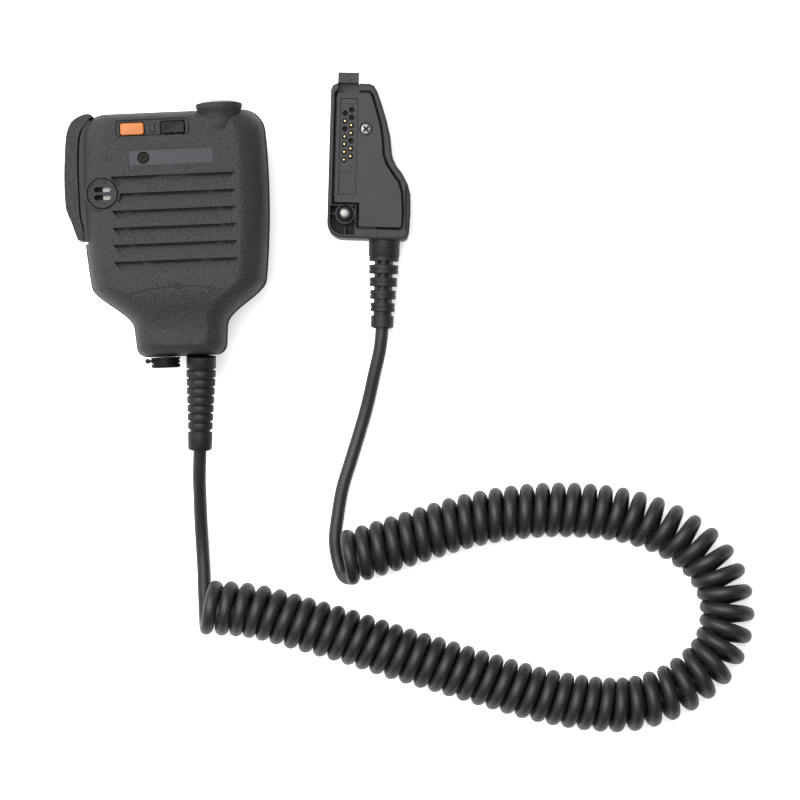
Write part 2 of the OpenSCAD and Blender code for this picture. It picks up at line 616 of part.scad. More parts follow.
module contact_pins() color(brass) at_plug() contacts(1) {
    translate([0, 0, 8.9]) cylinder(r = 0.8, h = 5.3);
    translate([0, 0, 14.2 - eps]) rotate_extrude() polygon([[0, 0], [0.8, 0], [0.55, 0.45], [0, 0.65]]);
}

module plug_seal() color(rubber_grey) at_plug() difference() {
    translate([strip_mid[0], strip_mid[1], 11.6])
        cube([strip_size[0] + 1.6, strip_size[1] + 1.6, 1.9], center = true);
    translate([strip_mid[0], strip_mid[1], 11]) cube([strip_size[0], strip_size[1], 6], center = true);
    translate([plug_screw_at[0], plug_screw_at[1], 10]) cylinder(r = 2.4, h = 4);
}

module plug_board() color(board_green) at_plug() difference() {
    translate([-11.4, -13, 6.6]) cube([11, 33, 1.2]);
    translate([plug_screw_at[0], plug_screw_at[1], 5]) cylinder(r = 3, h = 5);
}

module plug_screw() color(bright) at_plug() translate([plug_screw_at[0], plug_screw_at[1], 0]) {
    translate([0, 0, 6]) cylinder(r = 1, h = 8);
    difference() {
        translate([0, 0, 13.8]) cylinder(r = 2, h = 1.1);
        for (a = [45, 135]) rotate(a) translate([-1.25, -0.3, 14.3]) cube([2.5, 0.6, 2]);
    }
}

module thumb_screw() color(bright) at_plug() translate([thumb_at[0], thumb_at[1], 0]) {
    difference() {
        translate([0, 0, 0.6]) cylinder(r = 5.4, h = 4.2);
        translate([-7, -0.7, 0]) cube([14, 1.4, 1.8]);
    }
    difference() {
        translate([0, 0, 4]) cylinder(r = thumb_r, h = thumb_top - 4);
        translate([0, 0, 11.6]) rotate_extrude() translate([1.7, 0]) square([2, 0.8]);
    }
}
module retaining_ring() color(bright) at_plug() translate([thumb_at[0], thumb_at[1], 11.7])
    difference() {
        cylinder(r = 2.8, h = 0.6);
        translate([0, 0, -1]) cylinder(r = 1.7, h = 3);
    }

sleeve_len = 32;
module plug_strain_relief() color(black) at_plug()
    translate([sleeve_at[0], -30, sleeve_at[1]]) rotate([90, 0, 0]) difference() {
        union() {
            translate([0, 0, -2.4]) cylinder(r = 5.5, h = 9);
            for (i = [0:5]) translate([0, 0, 8 + i * 4.55])
                cylinder(r = 5.3 - i * 0.27, h = i == 5 ? 1.25 : 2.9);
            cylinder(r = 3.4, h = sleeve_len);
        }
        translate([0, 0, sleeve_len]) cylinder(r = 9, h = 9);
    }

front_shell();
rear_shell();
shell_gasket();
button_bezel();
label_plate();
indicator_ring();
led_lens();
microphone_port();
microphone_mesh();
microphone_capsule();
capsule_boot();
speaker_basket();
speaker_magnet();
speaker_cone();
speaker_gasket();
circuit_board();
button_board();
button_switches();
ptt_switch();
ptt_pin();
top_switch();
button_collar();
jack_socket();
case_screws();
mic_strain_relief();
clip_boss();
clip_screw();
ptt_bar();
ptt_boot();
orange_button();
black_button();
top_button();
jack_cap();
clip_base();
clip_pin();
clip_spring();
clip_arm();
cord_mic_lead();
cord_coil();
cord_plug_lead();
plug_shell();
plug_cover();
contact_block();
contact_pins();
plug_seal();
plug_board();
plug_screw();
thumb_screw();
retaining_ring();
plug_strain_relief();
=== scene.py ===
import math
import bpy
import bmesh
from mathutils import Matrix, Vector


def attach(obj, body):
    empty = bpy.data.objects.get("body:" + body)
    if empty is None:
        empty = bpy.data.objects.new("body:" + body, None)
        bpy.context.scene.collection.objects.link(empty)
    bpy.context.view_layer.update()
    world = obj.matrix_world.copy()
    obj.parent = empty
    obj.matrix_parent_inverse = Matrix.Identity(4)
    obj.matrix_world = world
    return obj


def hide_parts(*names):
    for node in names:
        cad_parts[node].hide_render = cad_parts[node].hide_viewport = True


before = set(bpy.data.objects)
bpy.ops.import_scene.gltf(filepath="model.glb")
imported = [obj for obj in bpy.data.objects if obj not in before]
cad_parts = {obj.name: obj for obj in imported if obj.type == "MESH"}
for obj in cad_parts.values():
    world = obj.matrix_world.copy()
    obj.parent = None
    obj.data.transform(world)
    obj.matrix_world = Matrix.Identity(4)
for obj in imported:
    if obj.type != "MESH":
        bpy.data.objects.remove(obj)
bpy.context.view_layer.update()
scene = bpy.context.scene
millimetre = 0.001  # shapes are drawn in millimetres and scaled when they are finished

# camera
cameraSettings = {"place": (80.2, -62.0, 1150.0), "turn": -2.4, "lens": 141.6}
cameraData = bpy.data.cameras.new("camera")
cameraData.lens = cameraSettings["lens"]
cameraData.clip_end = 20
camera = bpy.data.objects.new("camera", cameraData)
scene.collection.objects.link(camera)
camera.location = Vector(cameraSettings["place"]) * millimetre
camera.rotation_euler = (0, 0, math.radians(cameraSettings["turn"]))
scene.camera = camera
print("camera set")


# shader writing
class Signal:
    # wraps one shader socket, so that sums of sockets are written as Python sums
    def __init__(self, tree, socket=None):
        self.tree = tree
        self.socket = socket

    def add(self, kind, settings=None, inputs=None, output=0):
        node = self.tree.nodes.new("ShaderNode" + kind)
        for key, value in (settings or {}).items():
            if key == "stops":
                for place, colour in value[1:-1]:
                    node.color_ramp.elements.new(place)
                for element, (place, colour) in zip(node.color_ramp.elements, value):
                    element.position = place
                    element.color = (*colour, 1) if isinstance(colour, tuple) else (colour, colour, colour, 1)
            else:
                setattr(node, key, value)
        for key, value in (inputs or {}).items():
            if isinstance(value, Signal):
                self.tree.links.new(value.socket, node.inputs[key])
            else:
                node.inputs[key].default_value = value
        return Signal(self.tree, node.outputs[output] if len(node.outputs) else None)

    def math(self, operation, first, second):
        return self.add("Math", {"operation": operation}, {0: first, 1: second})

    def __add__(self, other):
        return self.math("ADD", self, other)

    def __sub__(self, other):
        return self.math("SUBTRACT", self, other)

    def __rsub__(self, other):
        return self.math("SUBTRACT", other, self)

    def __mul__(self, other):
        return self.math("MULTIPLY", self, other)

    def __gt__(self, other):
        return self.math("GREATER_THAN", self, other)

    def __lt__(self, other):
        return self.math("LESS_THAN", self, other)

    __radd__ = __add__


def newMaterial(name):
    material = bpy.data.materials.new(name)
    material.use_nodes = True
    material.node_tree.nodes.clear()
    return material, Signal(material.node_tree)


def noise(tree, where, scale, detail=3.0, roughness=0.55):
    return tree.add("TexNoise", None, {"Vector": where, "Scale": scale, "Detail": detail, "Roughness": roughness})


def blend(tree, factor, first, second):
    def colour(given):
        return (*given, 1) if isinstance(given, tuple) else given
    return tree.add("Mix", {"data_type": "RGBA"}, {0: factor, 6: colour(first), 7: colour(second)}, 2)


def lift(colour, factor):
    return tuple(min(1.0, c * factor) for c in colour)


def mouldedPlastic(name, colour, roughness, grain, depth, mottling=0.1, specks=0.0, specular=0.4, paintedGrainShade=0.2):
    # a moulded surface: grain as wide as the given millimetres, patches of lighter and darker tone, painted shade that
    # darkens the colour along the grain's bumps, and a few light specks
    material, tree = newMaterial(name)
    where = tree.add("TexCoord", output=3)
    cells = tree.add("TexVoronoi", {"feature": "SMOOTH_F1"}, {
        "Vector": where, "Scale": 1000 / grain, "Smoothness": 0.6})
    fine = noise(tree, where, 2300 / grain)
    broad = noise(tree, where, 90.0, 2.0)
    shade = blend(tree, broad, lift(colour, 1 - mottling), lift(colour, 1 + mottling))
    # painted shade: the colour darkens where the grain cells and the fine noise raise the bump, so the grain shows
    # under soft light
    shade = blend(tree, fine * 0.3 + cells * paintedGrainShade, shade, lift(colour, 0.5))
    if specks:
        dust = noise(tree, where, 1500.0, 1.0) > 1 - specks
        shade = blend(tree, dust * 0.35, shade, lift(colour, 3.2))
    bump = tree.add("Bump", None, {
        "Height": cells * 0.7 + fine * 0.5, "Strength": 0.9, "Distance": depth * millimetre})
    surface = tree.add("BsdfPrincipled", None, {
        "Base Color": shade, "Roughness": roughness + (broad - 0.5) * 0.12 + (fine - 0.5) * 0.1,
        "Normal": bump, "Specular IOR Level": specular})
    tree.add("OutputMaterial", None, {"Surface": surface})
    return material


def brushedMetal(name, colour, roughness, stretch=(1.0, 1.0, 12.0), scratch=0.02):
    # fine lines along one direction, with darker patches where hands have been
    material, tree = newMaterial(name)
    where = tree.add("TexCoord", output=3)
    lines = tree.add("Mapping", None, {"Vector": where, "Scale": tuple(1.0 / s for s in stretch)})
    streaks = noise(tree, lines, 2600.0, 2.0)
    patches = noise(tree, where, 240.0, 3.0)
    shade = blend(tree, patches, lift(colour, 0.82), lift(colour, 1.08))
    bump = tree.add("Bump", None, {"Height": streaks, "Strength": 0.5, "Distance": scratch * millimetre})
    surface = tree.add("BsdfPrincipled", None, {
        "Base Color": shade, "Metallic": 1.0, "Roughness": roughness + streaks * 0.14, "Normal": bump})
    tree.add("OutputMaterial", None, {"Surface": surface})
    return material


def circuitBoard(name, colour, trace):
    # green lacquer over copper tracks, on a fine grid
    material, tree = newMaterial(name)
    where = tree.add("TexCoord", output=3)
    tracks = tree.add("TexBrick", None, {
        "Vector": where, "Scale": 260.0, "Mortar Size": 0.05, "Color1": (*colour, 1),
        "Color2": (*lift(colour, 0.8), 1), "Mortar": (*trace, 1)})
    patches = noise(tree, where, 160.0)
    shade = blend(tree, patches * 0.5, tracks, lift(colour, 0.7))
    bump = tree.add("Bump", None, {"Height": patches, "Strength": 0.3, "Distance": 0.05 * millimetre})
    surface = tree.add("BsdfPrincipled", None, {
        "Base Color": shade, "Roughness": 0.35, "Normal": bump, "Coat Weight": 0.3})
    tree.add("OutputMaterial", None, {"Surface": surface})
    return material


def perforatedMetal(name, colour, pitch):
    # a screen with rows of round holes
    material, tree = newMaterial(name)
    where = tree.add("TexCoord", output=3)
    holes = tree.add("TexVoronoi", {"feature": "F1"}, {"Vector": where, "Scale": 1000 / pitch, "Randomness": 0.0})
    open_ = holes < 0.26
    # painted shade: the holes are not cut, and they are painted near-black for the shade inside them
    shade = blend(tree, open_, colour, (0.02, 0.02, 0.02))
    bump = tree.add("Bump", None, {"Height": 1 - open_, "Strength": 0.7, "Distance": 0.1 * millimetre})
    surface = tree.add("BsdfPrincipled", None, {
        "Base Color": shade, "Metallic": 1 - open_ * 0.9, "Roughness": 0.3 + noise(tree, where, 700.0) * 0.2,
        "Normal": bump})
    tree.add("OutputMaterial", None, {"Surface": surface})
    return material


def softFloor(name, colour, glow):
    material, tree = newMaterial(name)
    where = tree.add("TexCoord", output=3)
    shade = blend(tree, noise(tree, where, 3.0, 1.0), lift(colour, 0.995), colour)
    surface = tree.add("BsdfPrincipled", None, {"Base Color": shade, "Roughness": 0.9, "Specular IOR Level": 0.1,
                                             "Emission Color": (1, 1, 1, 1), "Emission Strength": glow})
    tree.add("OutputMaterial", None, {"Surface": surface})
    return material


finish = {
    "case": mouldedPlastic("grained case plastic", (0.030, 0.030, 0.0335), 0.6, 0.95, 0.3, specks=0.27,
                           specular=0.12, paintedGrainShade=0.75),
    "smooth": mouldedPlastic("satin plug plastic", (0.027, 0.027, 0.030), 0.5, 0.28, 0.02, mottling=0.05, specks=0.25,
                             specular=0.13),
    "label": mouldedPlastic("label plate", (0.021, 0.0215, 0.027), 0.38, 0.25, 0.006, mottling=0.06, specks=0.24,
                            specular=0.14),
    "black": mouldedPlastic("black plastic", (0.005, 0.005, 0.0055), 0.5, 0.5, 0.03, mottling=0.08, specular=0.1),
    "keyBlack": mouldedPlastic("rough black key", (0.010, 0.010, 0.011), 0.55, 0.8, 0.12, mottling=0.15, specks=0.3,
                               specular=0.1),
    "rubber": mouldedPlastic("soft rubber", (0.010, 0.010, 0.0115), 0.55, 0.35, 0.02, mottling=0.08, specks=0.24,
                             specular=0.2),
    "cord": mouldedPlastic("cord jacket", (0.010, 0.010, 0.012), 0.5, 0.6, 0.012, mottling=0.05, specular=0.3),
    "orange": mouldedPlastic("orange key", (0.37, 0.118, 0.029), 0.45, 0.6, 0.02, mottling=0.03, specular=0.2),
    "knobGrey": mouldedPlastic("grey dome", (0.26, 0.26, 0.268), 0.45, 0.5, 0.01, mottling=0.04, specular=0.3),
    "lens": mouldedPlastic("smoked lens", (0.012, 0.013, 0.013), 0.3, 0.5, 0.004, mottling=0.05, specular=0.15),
    "clip": mouldedPlastic("painted clip steel", (0.014, 0.014, 0.016), 0.42, 0.45, 0.02, mottling=0.1, specks=0.27,
                           specular=0.3),
    "steel": brushedMetal("dull steel", (0.13, 0.13, 0.126), 0.34),
    "gold": brushedMetal("gold plating", (0.50, 0.39, 0.21), 0.25, (1.0, 1.0, 1.0)),
    "board": circuitBoard("circuit board", (0.02, 0.08, 0.04), (0.18, 0.14, 0.06)),
    "mesh": perforatedMetal("perforated steel", (0.085, 0.085, 0.08), 0.45),
    "paper": mouldedPlastic("speaker paper", (0.012, 0.011, 0.010), 0.9, 0.4, 0.05, mottling=0.2, specular=0.1),
    "floor": softFloor("pale table top", (0.86, 0.86, 0.86), 0.45),
}
print("materials made:", len(finish))


# shape helpers, all in millimetres
def prism(outline, low, high):
    # a flat outline drawn up from one height to another
    bm = bmesh.new()
    face = bm.faces.new([bm.verts.new((x, y, low)) for x, y in outline])
    pushed = bmesh.ops.extrude_face_region(bm, geom=[face], use_keep_orig=True)["geom"]
    bmesh.ops.translate(bm, vec=(0, 0, high - low), verts=[g for g in pushed if isinstance(g, bmesh.types.BMVert)])
    bmesh.ops.recalc_face_normals(bm, faces=bm.faces)
    return bm


def softPrism(outline, low, high, radius, steps=5):
    # a prism whose upper edge is rounded over
    bm = prism(outline, low, high - radius)
    lid = topOf(bm)
    for i in range(steps):
        start, end = (math.radians(90 * k / steps) for k in (i, i + 1))
        bmesh.ops.inset_individual(bm, faces=[lid], thickness=radius * (math.cos(start) - math.cos(end)),
                                   depth=radius * (math.sin(end) - math.sin(start)), use_even_offset=True)
    return bm


def roundedOutline(middle, size, radius, steps=6):
    corners = [(1, 1, 0), (-1, 1, 90), (-1, -1, 180), (1, -1, 270)]
    outline = []
    for sideX, sideY, start in corners:
        for i in range(steps + 1):
            angle = math.radians(start + 90 * i / steps)
            outline.append((middle[0] + sideX * (size[0] / 2 - radius) + radius * math.cos(angle),
                            middle[1] + sideY * (size[1] / 2 - radius) + radius * math.sin(angle)))
    return outline


def block(low, high):
    bm = bmesh.new()
    bmesh.ops.create_cube(bm, size=1)
    size = Vector(high) - Vector(low)
    bmesh.ops.scale(bm, vec=size, verts=bm.verts)
    bmesh.ops.translate(bm, vec=(Vector(high) + Vector(low)) / 2, verts=bm.verts)
    return bm


def spun(profile, steps=48, place=Matrix()):
    # a closed profile of (radius, height) pairs turned about the upright axis
    bm = bmesh.new()
    verts = [bm.verts.new((r, 0, h)) for r, h in profile]
    edges = [bm.edges.new(pair) for pair in zip(verts, verts[1:])]
    bmesh.ops.spin(bm, geom=verts + edges, cent=(0, 0, 0), axis=(0, 0, 1), dvec=(0, 0, 0), angle=2 * math.pi,
                   steps=steps, use_merge=True)
    bmesh.ops.remove_doubles(bm, verts=bm.verts, dist=1e-4)
    bmesh.ops.recalc_face_normals(bm, faces=bm.faces)
    bm.transform(place)
    return bm


def rod(radius, low, high, place=Matrix(), steps=32):
    return spun([(0, low), (radius, low), (radius, high), (0, high)], steps, place)


def placed(x, y, z=0.0):
    return Matrix.Translation((x, y, z))


def alongY(x, y, z):
    # places a turned shape with its axis along +Y
    return Matrix.Translation((x, y, z)) @ Matrix.Rotation(math.radians(-90), 4, "X")


def alongX(x, y, z):
    # places a turned shape with its axis along +X
    return placed(x, y, z) @ Matrix.Rotation(math.radians(90), 4, "Y")


def topOf(bm):
    return max(bm.faces, key=lambda side: side.calc_center_median().z)


def joined(parts):
    whole = bmesh.new()
    for part in parts:
        mesh = bpy.data.meshes.new("part")
        part.to_mesh(mesh)
        part.free()
        whole.from_mesh(mesh)
        bpy.data.meshes.remove(mesh)
    return whole


def carved(base, tools, operation="DIFFERENCE"):
    # cuts or joins the tools, one mesh of them at a time
    def temporary(bm):
        mesh = bpy.data.meshes.new("temporary")
        bm.to_mesh(mesh)
        bm.free()
        obj = bpy.data.objects.new("temporary", mesh)
        scene.collection.objects.link(obj)
        return obj
    body = temporary(base)
    helpers = []
    for tool in tools:
        helper = temporary(tool)
        helpers.append(helper)
        step = body.modifiers.new("cut", "BOOLEAN")
        step.operation = operation
        step.solver = "MANIFOLD"
        step.object = helper
    shape = bpy.data.meshes.new_from_object(body.evaluated_get(bpy.context.evaluated_depsgraph_get()))
    result = bmesh.new()
    result.from_mesh(shape)
    for obj in [body] + helpers:
        data = obj.data
        bpy.data.objects.remove(obj)
        bpy.data.meshes.remove(data)
    bpy.data.meshes.remove(shape)
    return result


def finishPiece(bm, name, body, look, slot, replaces=(), edge=0.0, segments=2, angle=35):
    bmesh.ops.remove_doubles(bm, verts=bm.verts, dist=1e-4)
    bmesh.ops.scale(bm, vec=(millimetre,) * 3, verts=bm.verts)
    mesh = bpy.data.meshes.new(name)
    bm.to_mesh(mesh)
    bm.free()
    mesh.shade_smooth()
    mesh.set_sharp_from_angle(angle=math.radians(angle))
    mesh.materials.append(finish[look])
    piece = bpy.data.objects.new(name, mesh)
    scene.collection.objects.link(piece)
    if edge:
        bevel = piece.modifiers.new("edges", "BEVEL")
        bevel.width = edge * millimetre
        bevel.segments = segments
        bevel.limit_method = "ANGLE"
        bevel.angle_limit = math.radians(angle)
        bevel.harden_normals = True
        bevel.miter_outer = "MITER_ARC"
    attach(piece, body)
    if replaces:
        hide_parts(*replaces)
    return piece


def ease(t):
    t = max(0.0, min(1.0, t))
    return t * t * (3 - 2 * t)


# the cord: two leads and the curl between them
cordSettings = {
    "diameter": 4.8, "curlRadius": 7.6, "pitch": 5.5, "bendPitch": 6.6, "bendFrom": 150.0, "pointsPerTurn": 20,
    "exit": (7.6, -76.8, 18.6),
    "micLead": [(7.9, -72.0, 19.3), (7.6, -76.8, 18.6), (6.7, -86.5, 14.4), (6.3, -95, 9.6), (6, -104, 5.4),
                (6, -113, 3), (6.1, -121.5, 2.5), (6.0, -128.5, 2.5)],
    "curl": [(6.0, -134, 10.1), (23.5, -136, 10.1), (41, -141.3, 10.1), (58.3, -147, 10.1), (75.3, -153.4, 10.1),
             (92.6, -159.3, 10.1), (110, -165.4, 10.1), (127.3, -171, 10.1), (145.4, -174.8, 10.1),
             (160, -175.4, 10.1), (174, -171.5, 10.1), (184.7, -165, 10.1), (191.1, -158.2, 10.1),
             (194.7, -149, 10.1), (195.2, -139.4, 10.1), (192.2, -129.4, 10.1), (185.4, -120.3, 10.1),
             (173.6, -112.3, 10.1), (159.7, -107.2, 10.1), (145.5, -104.8, 10.1), (130.8, -104, 10.1),
             (116, -104.8, 10.1), (101.7, -107, 10.1), (87.7, -110.6, 10.1), (73.2, -114.5, 10.1),
             (58.5, -118.5, 10.1)],
    "plugLead": [(57.2, -125.2, 5.0), (55.2, -120.0, 2.5), (54.4, -112, 2.5), (55.7, -103.3, 2.5),
                 (57.9, -93.2, 2.5), (61.4, -83.2, 2.5), (65, -73, 2.8), (68.3, -63, 3.8), (71.3, -52, 6.0),
                 (73.7, -43.1, 7.4), (74.76, -35.8, 8), (75.2, -29.8, 8)],
}


def smoothLine(points, step):
    # one smooth line through the points
    given = [Vector(p) for p in points]
    given = [2 * given[0] - given[1]] + given + [2 * given[-1] - given[-2]]
    line = []
    for a, b, c, d in zip(given, given[1:], given[2:], given[3:]):
        count = max(1, round((c - b).length / step))
        for i in range(count):
            t = i / count
            line.append(0.5 * (2 * b + (c - a) * t + (2 * a - 5 * b + 4 * c - d) * t ** 2
                               + (3 * b - a - 3 * c + d) * t ** 3))
    line.append(given[-2])
    return line


def curlLine(settings):
    # a left-handed helix about the curl's middle line, from the bottom of its first turn
    middle = smoothLine(settings["curl"], 0.4)
    phases = [0.0]
    for a, b in zip(middle, middle[1:]):
        share = ease((a.x - settings["bendFrom"]) / 25)
        pitch = settings["pitch"] * (1 - share) + settings["bendPitch"] * share
        phases.append(phases[-1] + (b - a).length / pitch)
    turns = math.floor(phases[-1]) + 0.75
    scale = turns / phases[-1]
    line = []
    place = 0
    for k in range(int(turns * settings["pointsPerTurn"]) + 1):
        phase = k / settings["pointsPerTurn"] / scale
        while place < len(phases) - 2 and phases[place + 1] < phase:
            place += 1
        share = (phase - phases[place]) / (phases[place + 1] - phases[place])
        centre = middle[place].lerp(middle[place + 1], min(1.0, share))
        heading = (middle[min(place + 2, len(middle) - 1)] - middle[max(place - 1, 0)]).normalized()
        left = Vector((-heading.y, heading.x, 0)).normalized()
        angle = 2 * math.pi * k / settings["pointsPerTurn"]
        line.append(centre - settings["curlRadius"] * (math.sin(angle) * left + math.cos(angle) * Vector((0, 0, 1))))
    return line, turns


curl, curlTurns = curlLine(cordSettings)
micLead = smoothLine(cordSettings["micLead"] + [tuple(curl[0]), tuple(curl[1])], 1.5)[:-2]
plugLead = smoothLine([tuple(curl[-2]), tuple(curl[-1])] + cordSettings["plugLead"], 1.5)[2:]
cordLine = micLead + curl + plugLead
cordLength = sum((b - a).length for a, b in zip(cordLine, cordLine[1:]))
print("cord: %.1f turns, %.3f m long" % (curlTurns, cordLength * millimetre))

cordCurve = bpy.data.curves.new("cord", "CURVE")
cordCurve.dimensions = "3D"
cordSpline = cordCurve.splines.new("POLY")
cordSpline.points.add(len(cordLine) - 1)
for spot, point in zip(cordSpline.points, cordLine):
    spot.co = (*(point * millimetre), 1)
cordCurve.bevel_depth = cordSettings["diameter"] / 2 * millimetre
cordCurve.bevel_resolution = 6
cordCurve.use_fill_caps = True
cordSpline.use_smooth = True
cordCurve.materials.append(finish["cord"])
cordPiece = bpy.data.objects.new("cord", cordCurve)
scene.collection.objects.link(cordPiece)
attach(cordPiece, "microphone")
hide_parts("cord_mic_lead", "cord_coil", "cord_plug_lead")

# the microphone case
case = {
    "axis": 3.0, "halfWidth": 33.7, "neckHalfWidth": 16.3, "top": 44.5, "bottom": -43.0, "cornerRadius": 8.0,
    "footRadius": 3.5, "shoulderTop": -17.0, "shoulderLength": 15.5, "barrelMiddle": 18.5, "barrelCurve": 23.5,
    "faceHeight": 41.0, "parting": 23.8, "neckDrop": 4.0, "neckFrom": -19.0, "neckLength": 15.0,
    "front": [(23.8, 0.5), (27, 0.8), (30, 1.3), (32, 1.8), (34, 2.5), (35.6, 3.3), (37, 4.2), (38.3, 5.3),
              (39.3, 6.4), (40.1, 7.5), (40.6, 8.4), (40.9, 9.2), (41, 10.0), (41, 10.8)],
    "rear": [(10, 5), (10.4, 3.9), (11, 3), (12.1, 2), (13.5, 1.2), (15.2, 0.65), (17, 0.3), (20, 0.1), (23, 0)],
    "frontRoom": [(23, 3.2), (30, 4.0), (34, 5.2), (37, 7.2), (38.4, 9.4)],
    "rearRoom": [(12.6, 6.4), (13.6, 4.4), (17, 3.0), (24, 2.6)],
    "endShare": 0.4, "roomEndShare": 0.85,
    "screws": [(-17, 29.5), (27, 29), (-24, -12), (30, -12)],
    "swivel": (3.0, 8.0), "barPin": (-24.5, 37.0), "barHeights": (16.5, 32.5), "barWall": -24.6,
    "jack": (-3.0, 23.4), "gland": (9.8, 23.4), "knob": (20.5, 36.0),
}


def halfWidthAt(y):
    c = case

    def corner(radius, depth):
        return 0.0 if depth >= radius else radius - math.sqrt(max(0.0, radius ** 2 - (radius - max(depth, 0)) ** 2))
    share = ease((c["shoulderTop"] - y) / c["shoulderLength"])
    barrel = c["halfWidth"] - ((y - c["barrelMiddle"]) / c["barrelCurve"]) ** 2
    neck = c["neckHalfWidth"] + (y + 38) * 0.08
    return (barrel * (1 - share) + neck * share - corner(c["cornerRadius"], c["top"] - y)
            - corner(c["footRadius"], y - c["bottom"]))


def caseStations():
    c = case
    rows = [c["top"] - c["cornerRadius"] * (1 - math.sin(math.radians(a))) for a in range(90, -1, -9)]
    rows += [32, 28, 23, 18, 13, 8, 3, -2, -7, -12, c["shoulderTop"]]
    rows += [c["shoulderTop"] - c["shoulderLength"] * i / 12 for i in range(1, 13)]
    rows += [-35, -37.5, c["bottom"] + c["footRadius"]]
    return rows + [c["bottom"] + c["footRadius"] * (1 - math.sin(math.radians(a))) for a in range(15, 91, 15)]


def caseLoft(levels, endShare):
    # the case's outline drawn up through its levels, each drawn in by its own amount
    c = case
    rows = caseStations()
    middle, half = (c["top"] + c["bottom"]) / 2, (c["top"] - c["bottom"]) / 2
    bm = bmesh.new()
    station = bm.verts.layers.int.new("station")

    def place(number, height, inset):
        side, row = (1, number) if number < len(rows) else (-1, 2 * len(rows) - 1 - number)
        wide = halfWidthAt(rows[row])
        x = wide - inset * (0.4 + 0.6 * wide / c["halfWidth"])
        y = middle + (rows[row] - middle) * (1 - endShare * inset / half)
        drop = c["neckDrop"] * ease((c["neckFrom"] - y) / c["neckLength"])
        if height > c["parting"]:
            height -= drop * (height - c["parting"]) / (c["faceHeight"] - c["parting"])
        return Vector((c["axis"] + side * x, y, height))
    ring = []
    for number in range(2 * len(rows)):
        vert = bm.verts.new(place(number, *levels[0]))
        vert[station] = number
        ring.append(vert)
    top = bm.faces.new(ring)
    for count, level in enumerate(levels[1:]):
        below = top
        pushed = bmesh.ops.extrude_face_region(bm, geom=[below], use_keep_orig=True)
        top = [g for g in pushed["geom"] if isinstance(g, bmesh.types.BMFace)][0]
        if count:
            bm.faces.remove(below)
        for vert in top.verts:
            vert.co = place(vert[station], *level)
    lid = {vert[station]: vert for vert in top.verts}
    for row in range(1, len(rows) - 1):
        bmesh.ops.connect_vert_pair(bm, verts=[lid[row], lid[2 * len(rows) - 1 - row]])
    bmesh.ops.recalc_face_normals(bm, faces=bm.faces)
    return bm


face = {
    "panel": (-3.0, 37.7), "panelSize": (26.0, 5.8), "panelGroove": 0.35,
    "orange": (-10.2, 37.4), "black": (4.1, 37.4), "keySize": (8.3, 4.2), "keyGap": 0.35, "keyTop": 41.5,
    "lamp": (-2.9, 37.4), "lampSize": (1.5, 3.0),
    "label": (3.15, 27.1), "labelSize": (30.2, 5.7), "ringX": -6.6, "ringRadius": 2.1,
    "port": (-21.6, 15.1), "portRadius": 5.5, "portSlot": (5.8, 1.8), "portSlotShift": 1.4,
    "louvres": 6, "louvreTop": 20.9, "louvrePitch": 6.03, "louvreEnds": (-18.5, 25.3), "louvreTaper": 3.4,
    "louvreLength": 4.4, "louvreDepth": 2.4, "louvreSlot": 1.0,
    "lineMiddle": (3.8, -18.75), "lineHalf": 19.0, "lineSag": 2.35, "lineWidth": 0.5,
}


def knobPlace():
    return alongY(case["knob"][0], 0, case["knob"][1])


def barRecess(wall):
    low, high = case["barHeights"]
    return block((wall - 20, -1.8, low - 0.3), (wall, 47.4, high + 0.3))


def frontTools():
    f, c = face, case
    tall = c["faceHeight"] + 3
    tools = [prism(roundedOutline(f["panel"], f["panelSize"], 1.2), c["faceHeight"] - 1, tall)]
    for spot in (f["orange"], f["black"]):
        size = (f["keySize"][0] + 2 * f["keyGap"], f["keySize"][1] + 2 * f["keyGap"])
        tools.append(prism(roundedOutline(spot, size, 0.9), 30, tall))
    tools.append(prism(roundedOutline(f["lamp"], f["lampSize"], 0.7), 30, tall))
    tools.append(prism(roundedOutline(f["label"], f["labelSize"], 0.6), c["faceHeight"] - 0.5, tall))
    tools.append(rod(f["ringRadius"], 30, tall, placed(f["ringX"], f["label"][1])))
    port = placed(*f["port"])
    tools += [rod(f["portRadius"] + 0.12, 38.2, tall, port, 64), rod(4.61, 33.4, 38.4, port)]
    # the engraved line across the bottom of the face, with its small square
    x0, y0 = f["lineMiddle"]
    upper, lower = [], []
    for i in range(33):
        t = i / 16 - 1
        width = f["lineWidth"] * (1 - abs(t) ** 3) / 2 + 0.03
        y = y0 - f["lineSag"] * t * t
        upper.append((x0 + f["lineHalf"] * t, y + width))
        lower.append((x0 + f["lineHalf"] * t, y - width))
    tools.append(prism(upper + lower[::-1], 40.45, tall))
    tools.append(carved(prism(roundedOutline(f["lineMiddle"], (2.1, 2.1), 0.3, 3), 40.2, tall),
                        [prism(roundedOutline(f["lineMiddle"], (1.3, 1.3), 0.2, 3), 40.0, tall + 1)]))
    return tools


def louvreTools():
    f = face
    left, right = f["louvreEnds"]
    tools = []
    for i in range(f["louvres"]):
        top = f["louvreTop"] - f["louvrePitch"] * i
        foot = top - f["louvreLength"]
        wedge = prism([(left, top), (right, top), (right - f["louvreTaper"], foot), (left + f["louvreTaper"], foot)],
                      case["faceHeight"] - f["louvreDepth"], case["faceHeight"] + 1)
        for vert in wedge.verts:  # the floor slopes up to the face
            if vert.co.z < case["faceHeight"] and vert.co.y < top - 1:
                vert.co.z = case["faceHeight"] + 0.02
        tools.append(wedge)
        start = left + 0.5 if i > 1 else -14.6
        tools.append(block((start, top - f["louvreSlot"], 36), (right - 0.4, top + 0.3, 39.7)))
    return tools


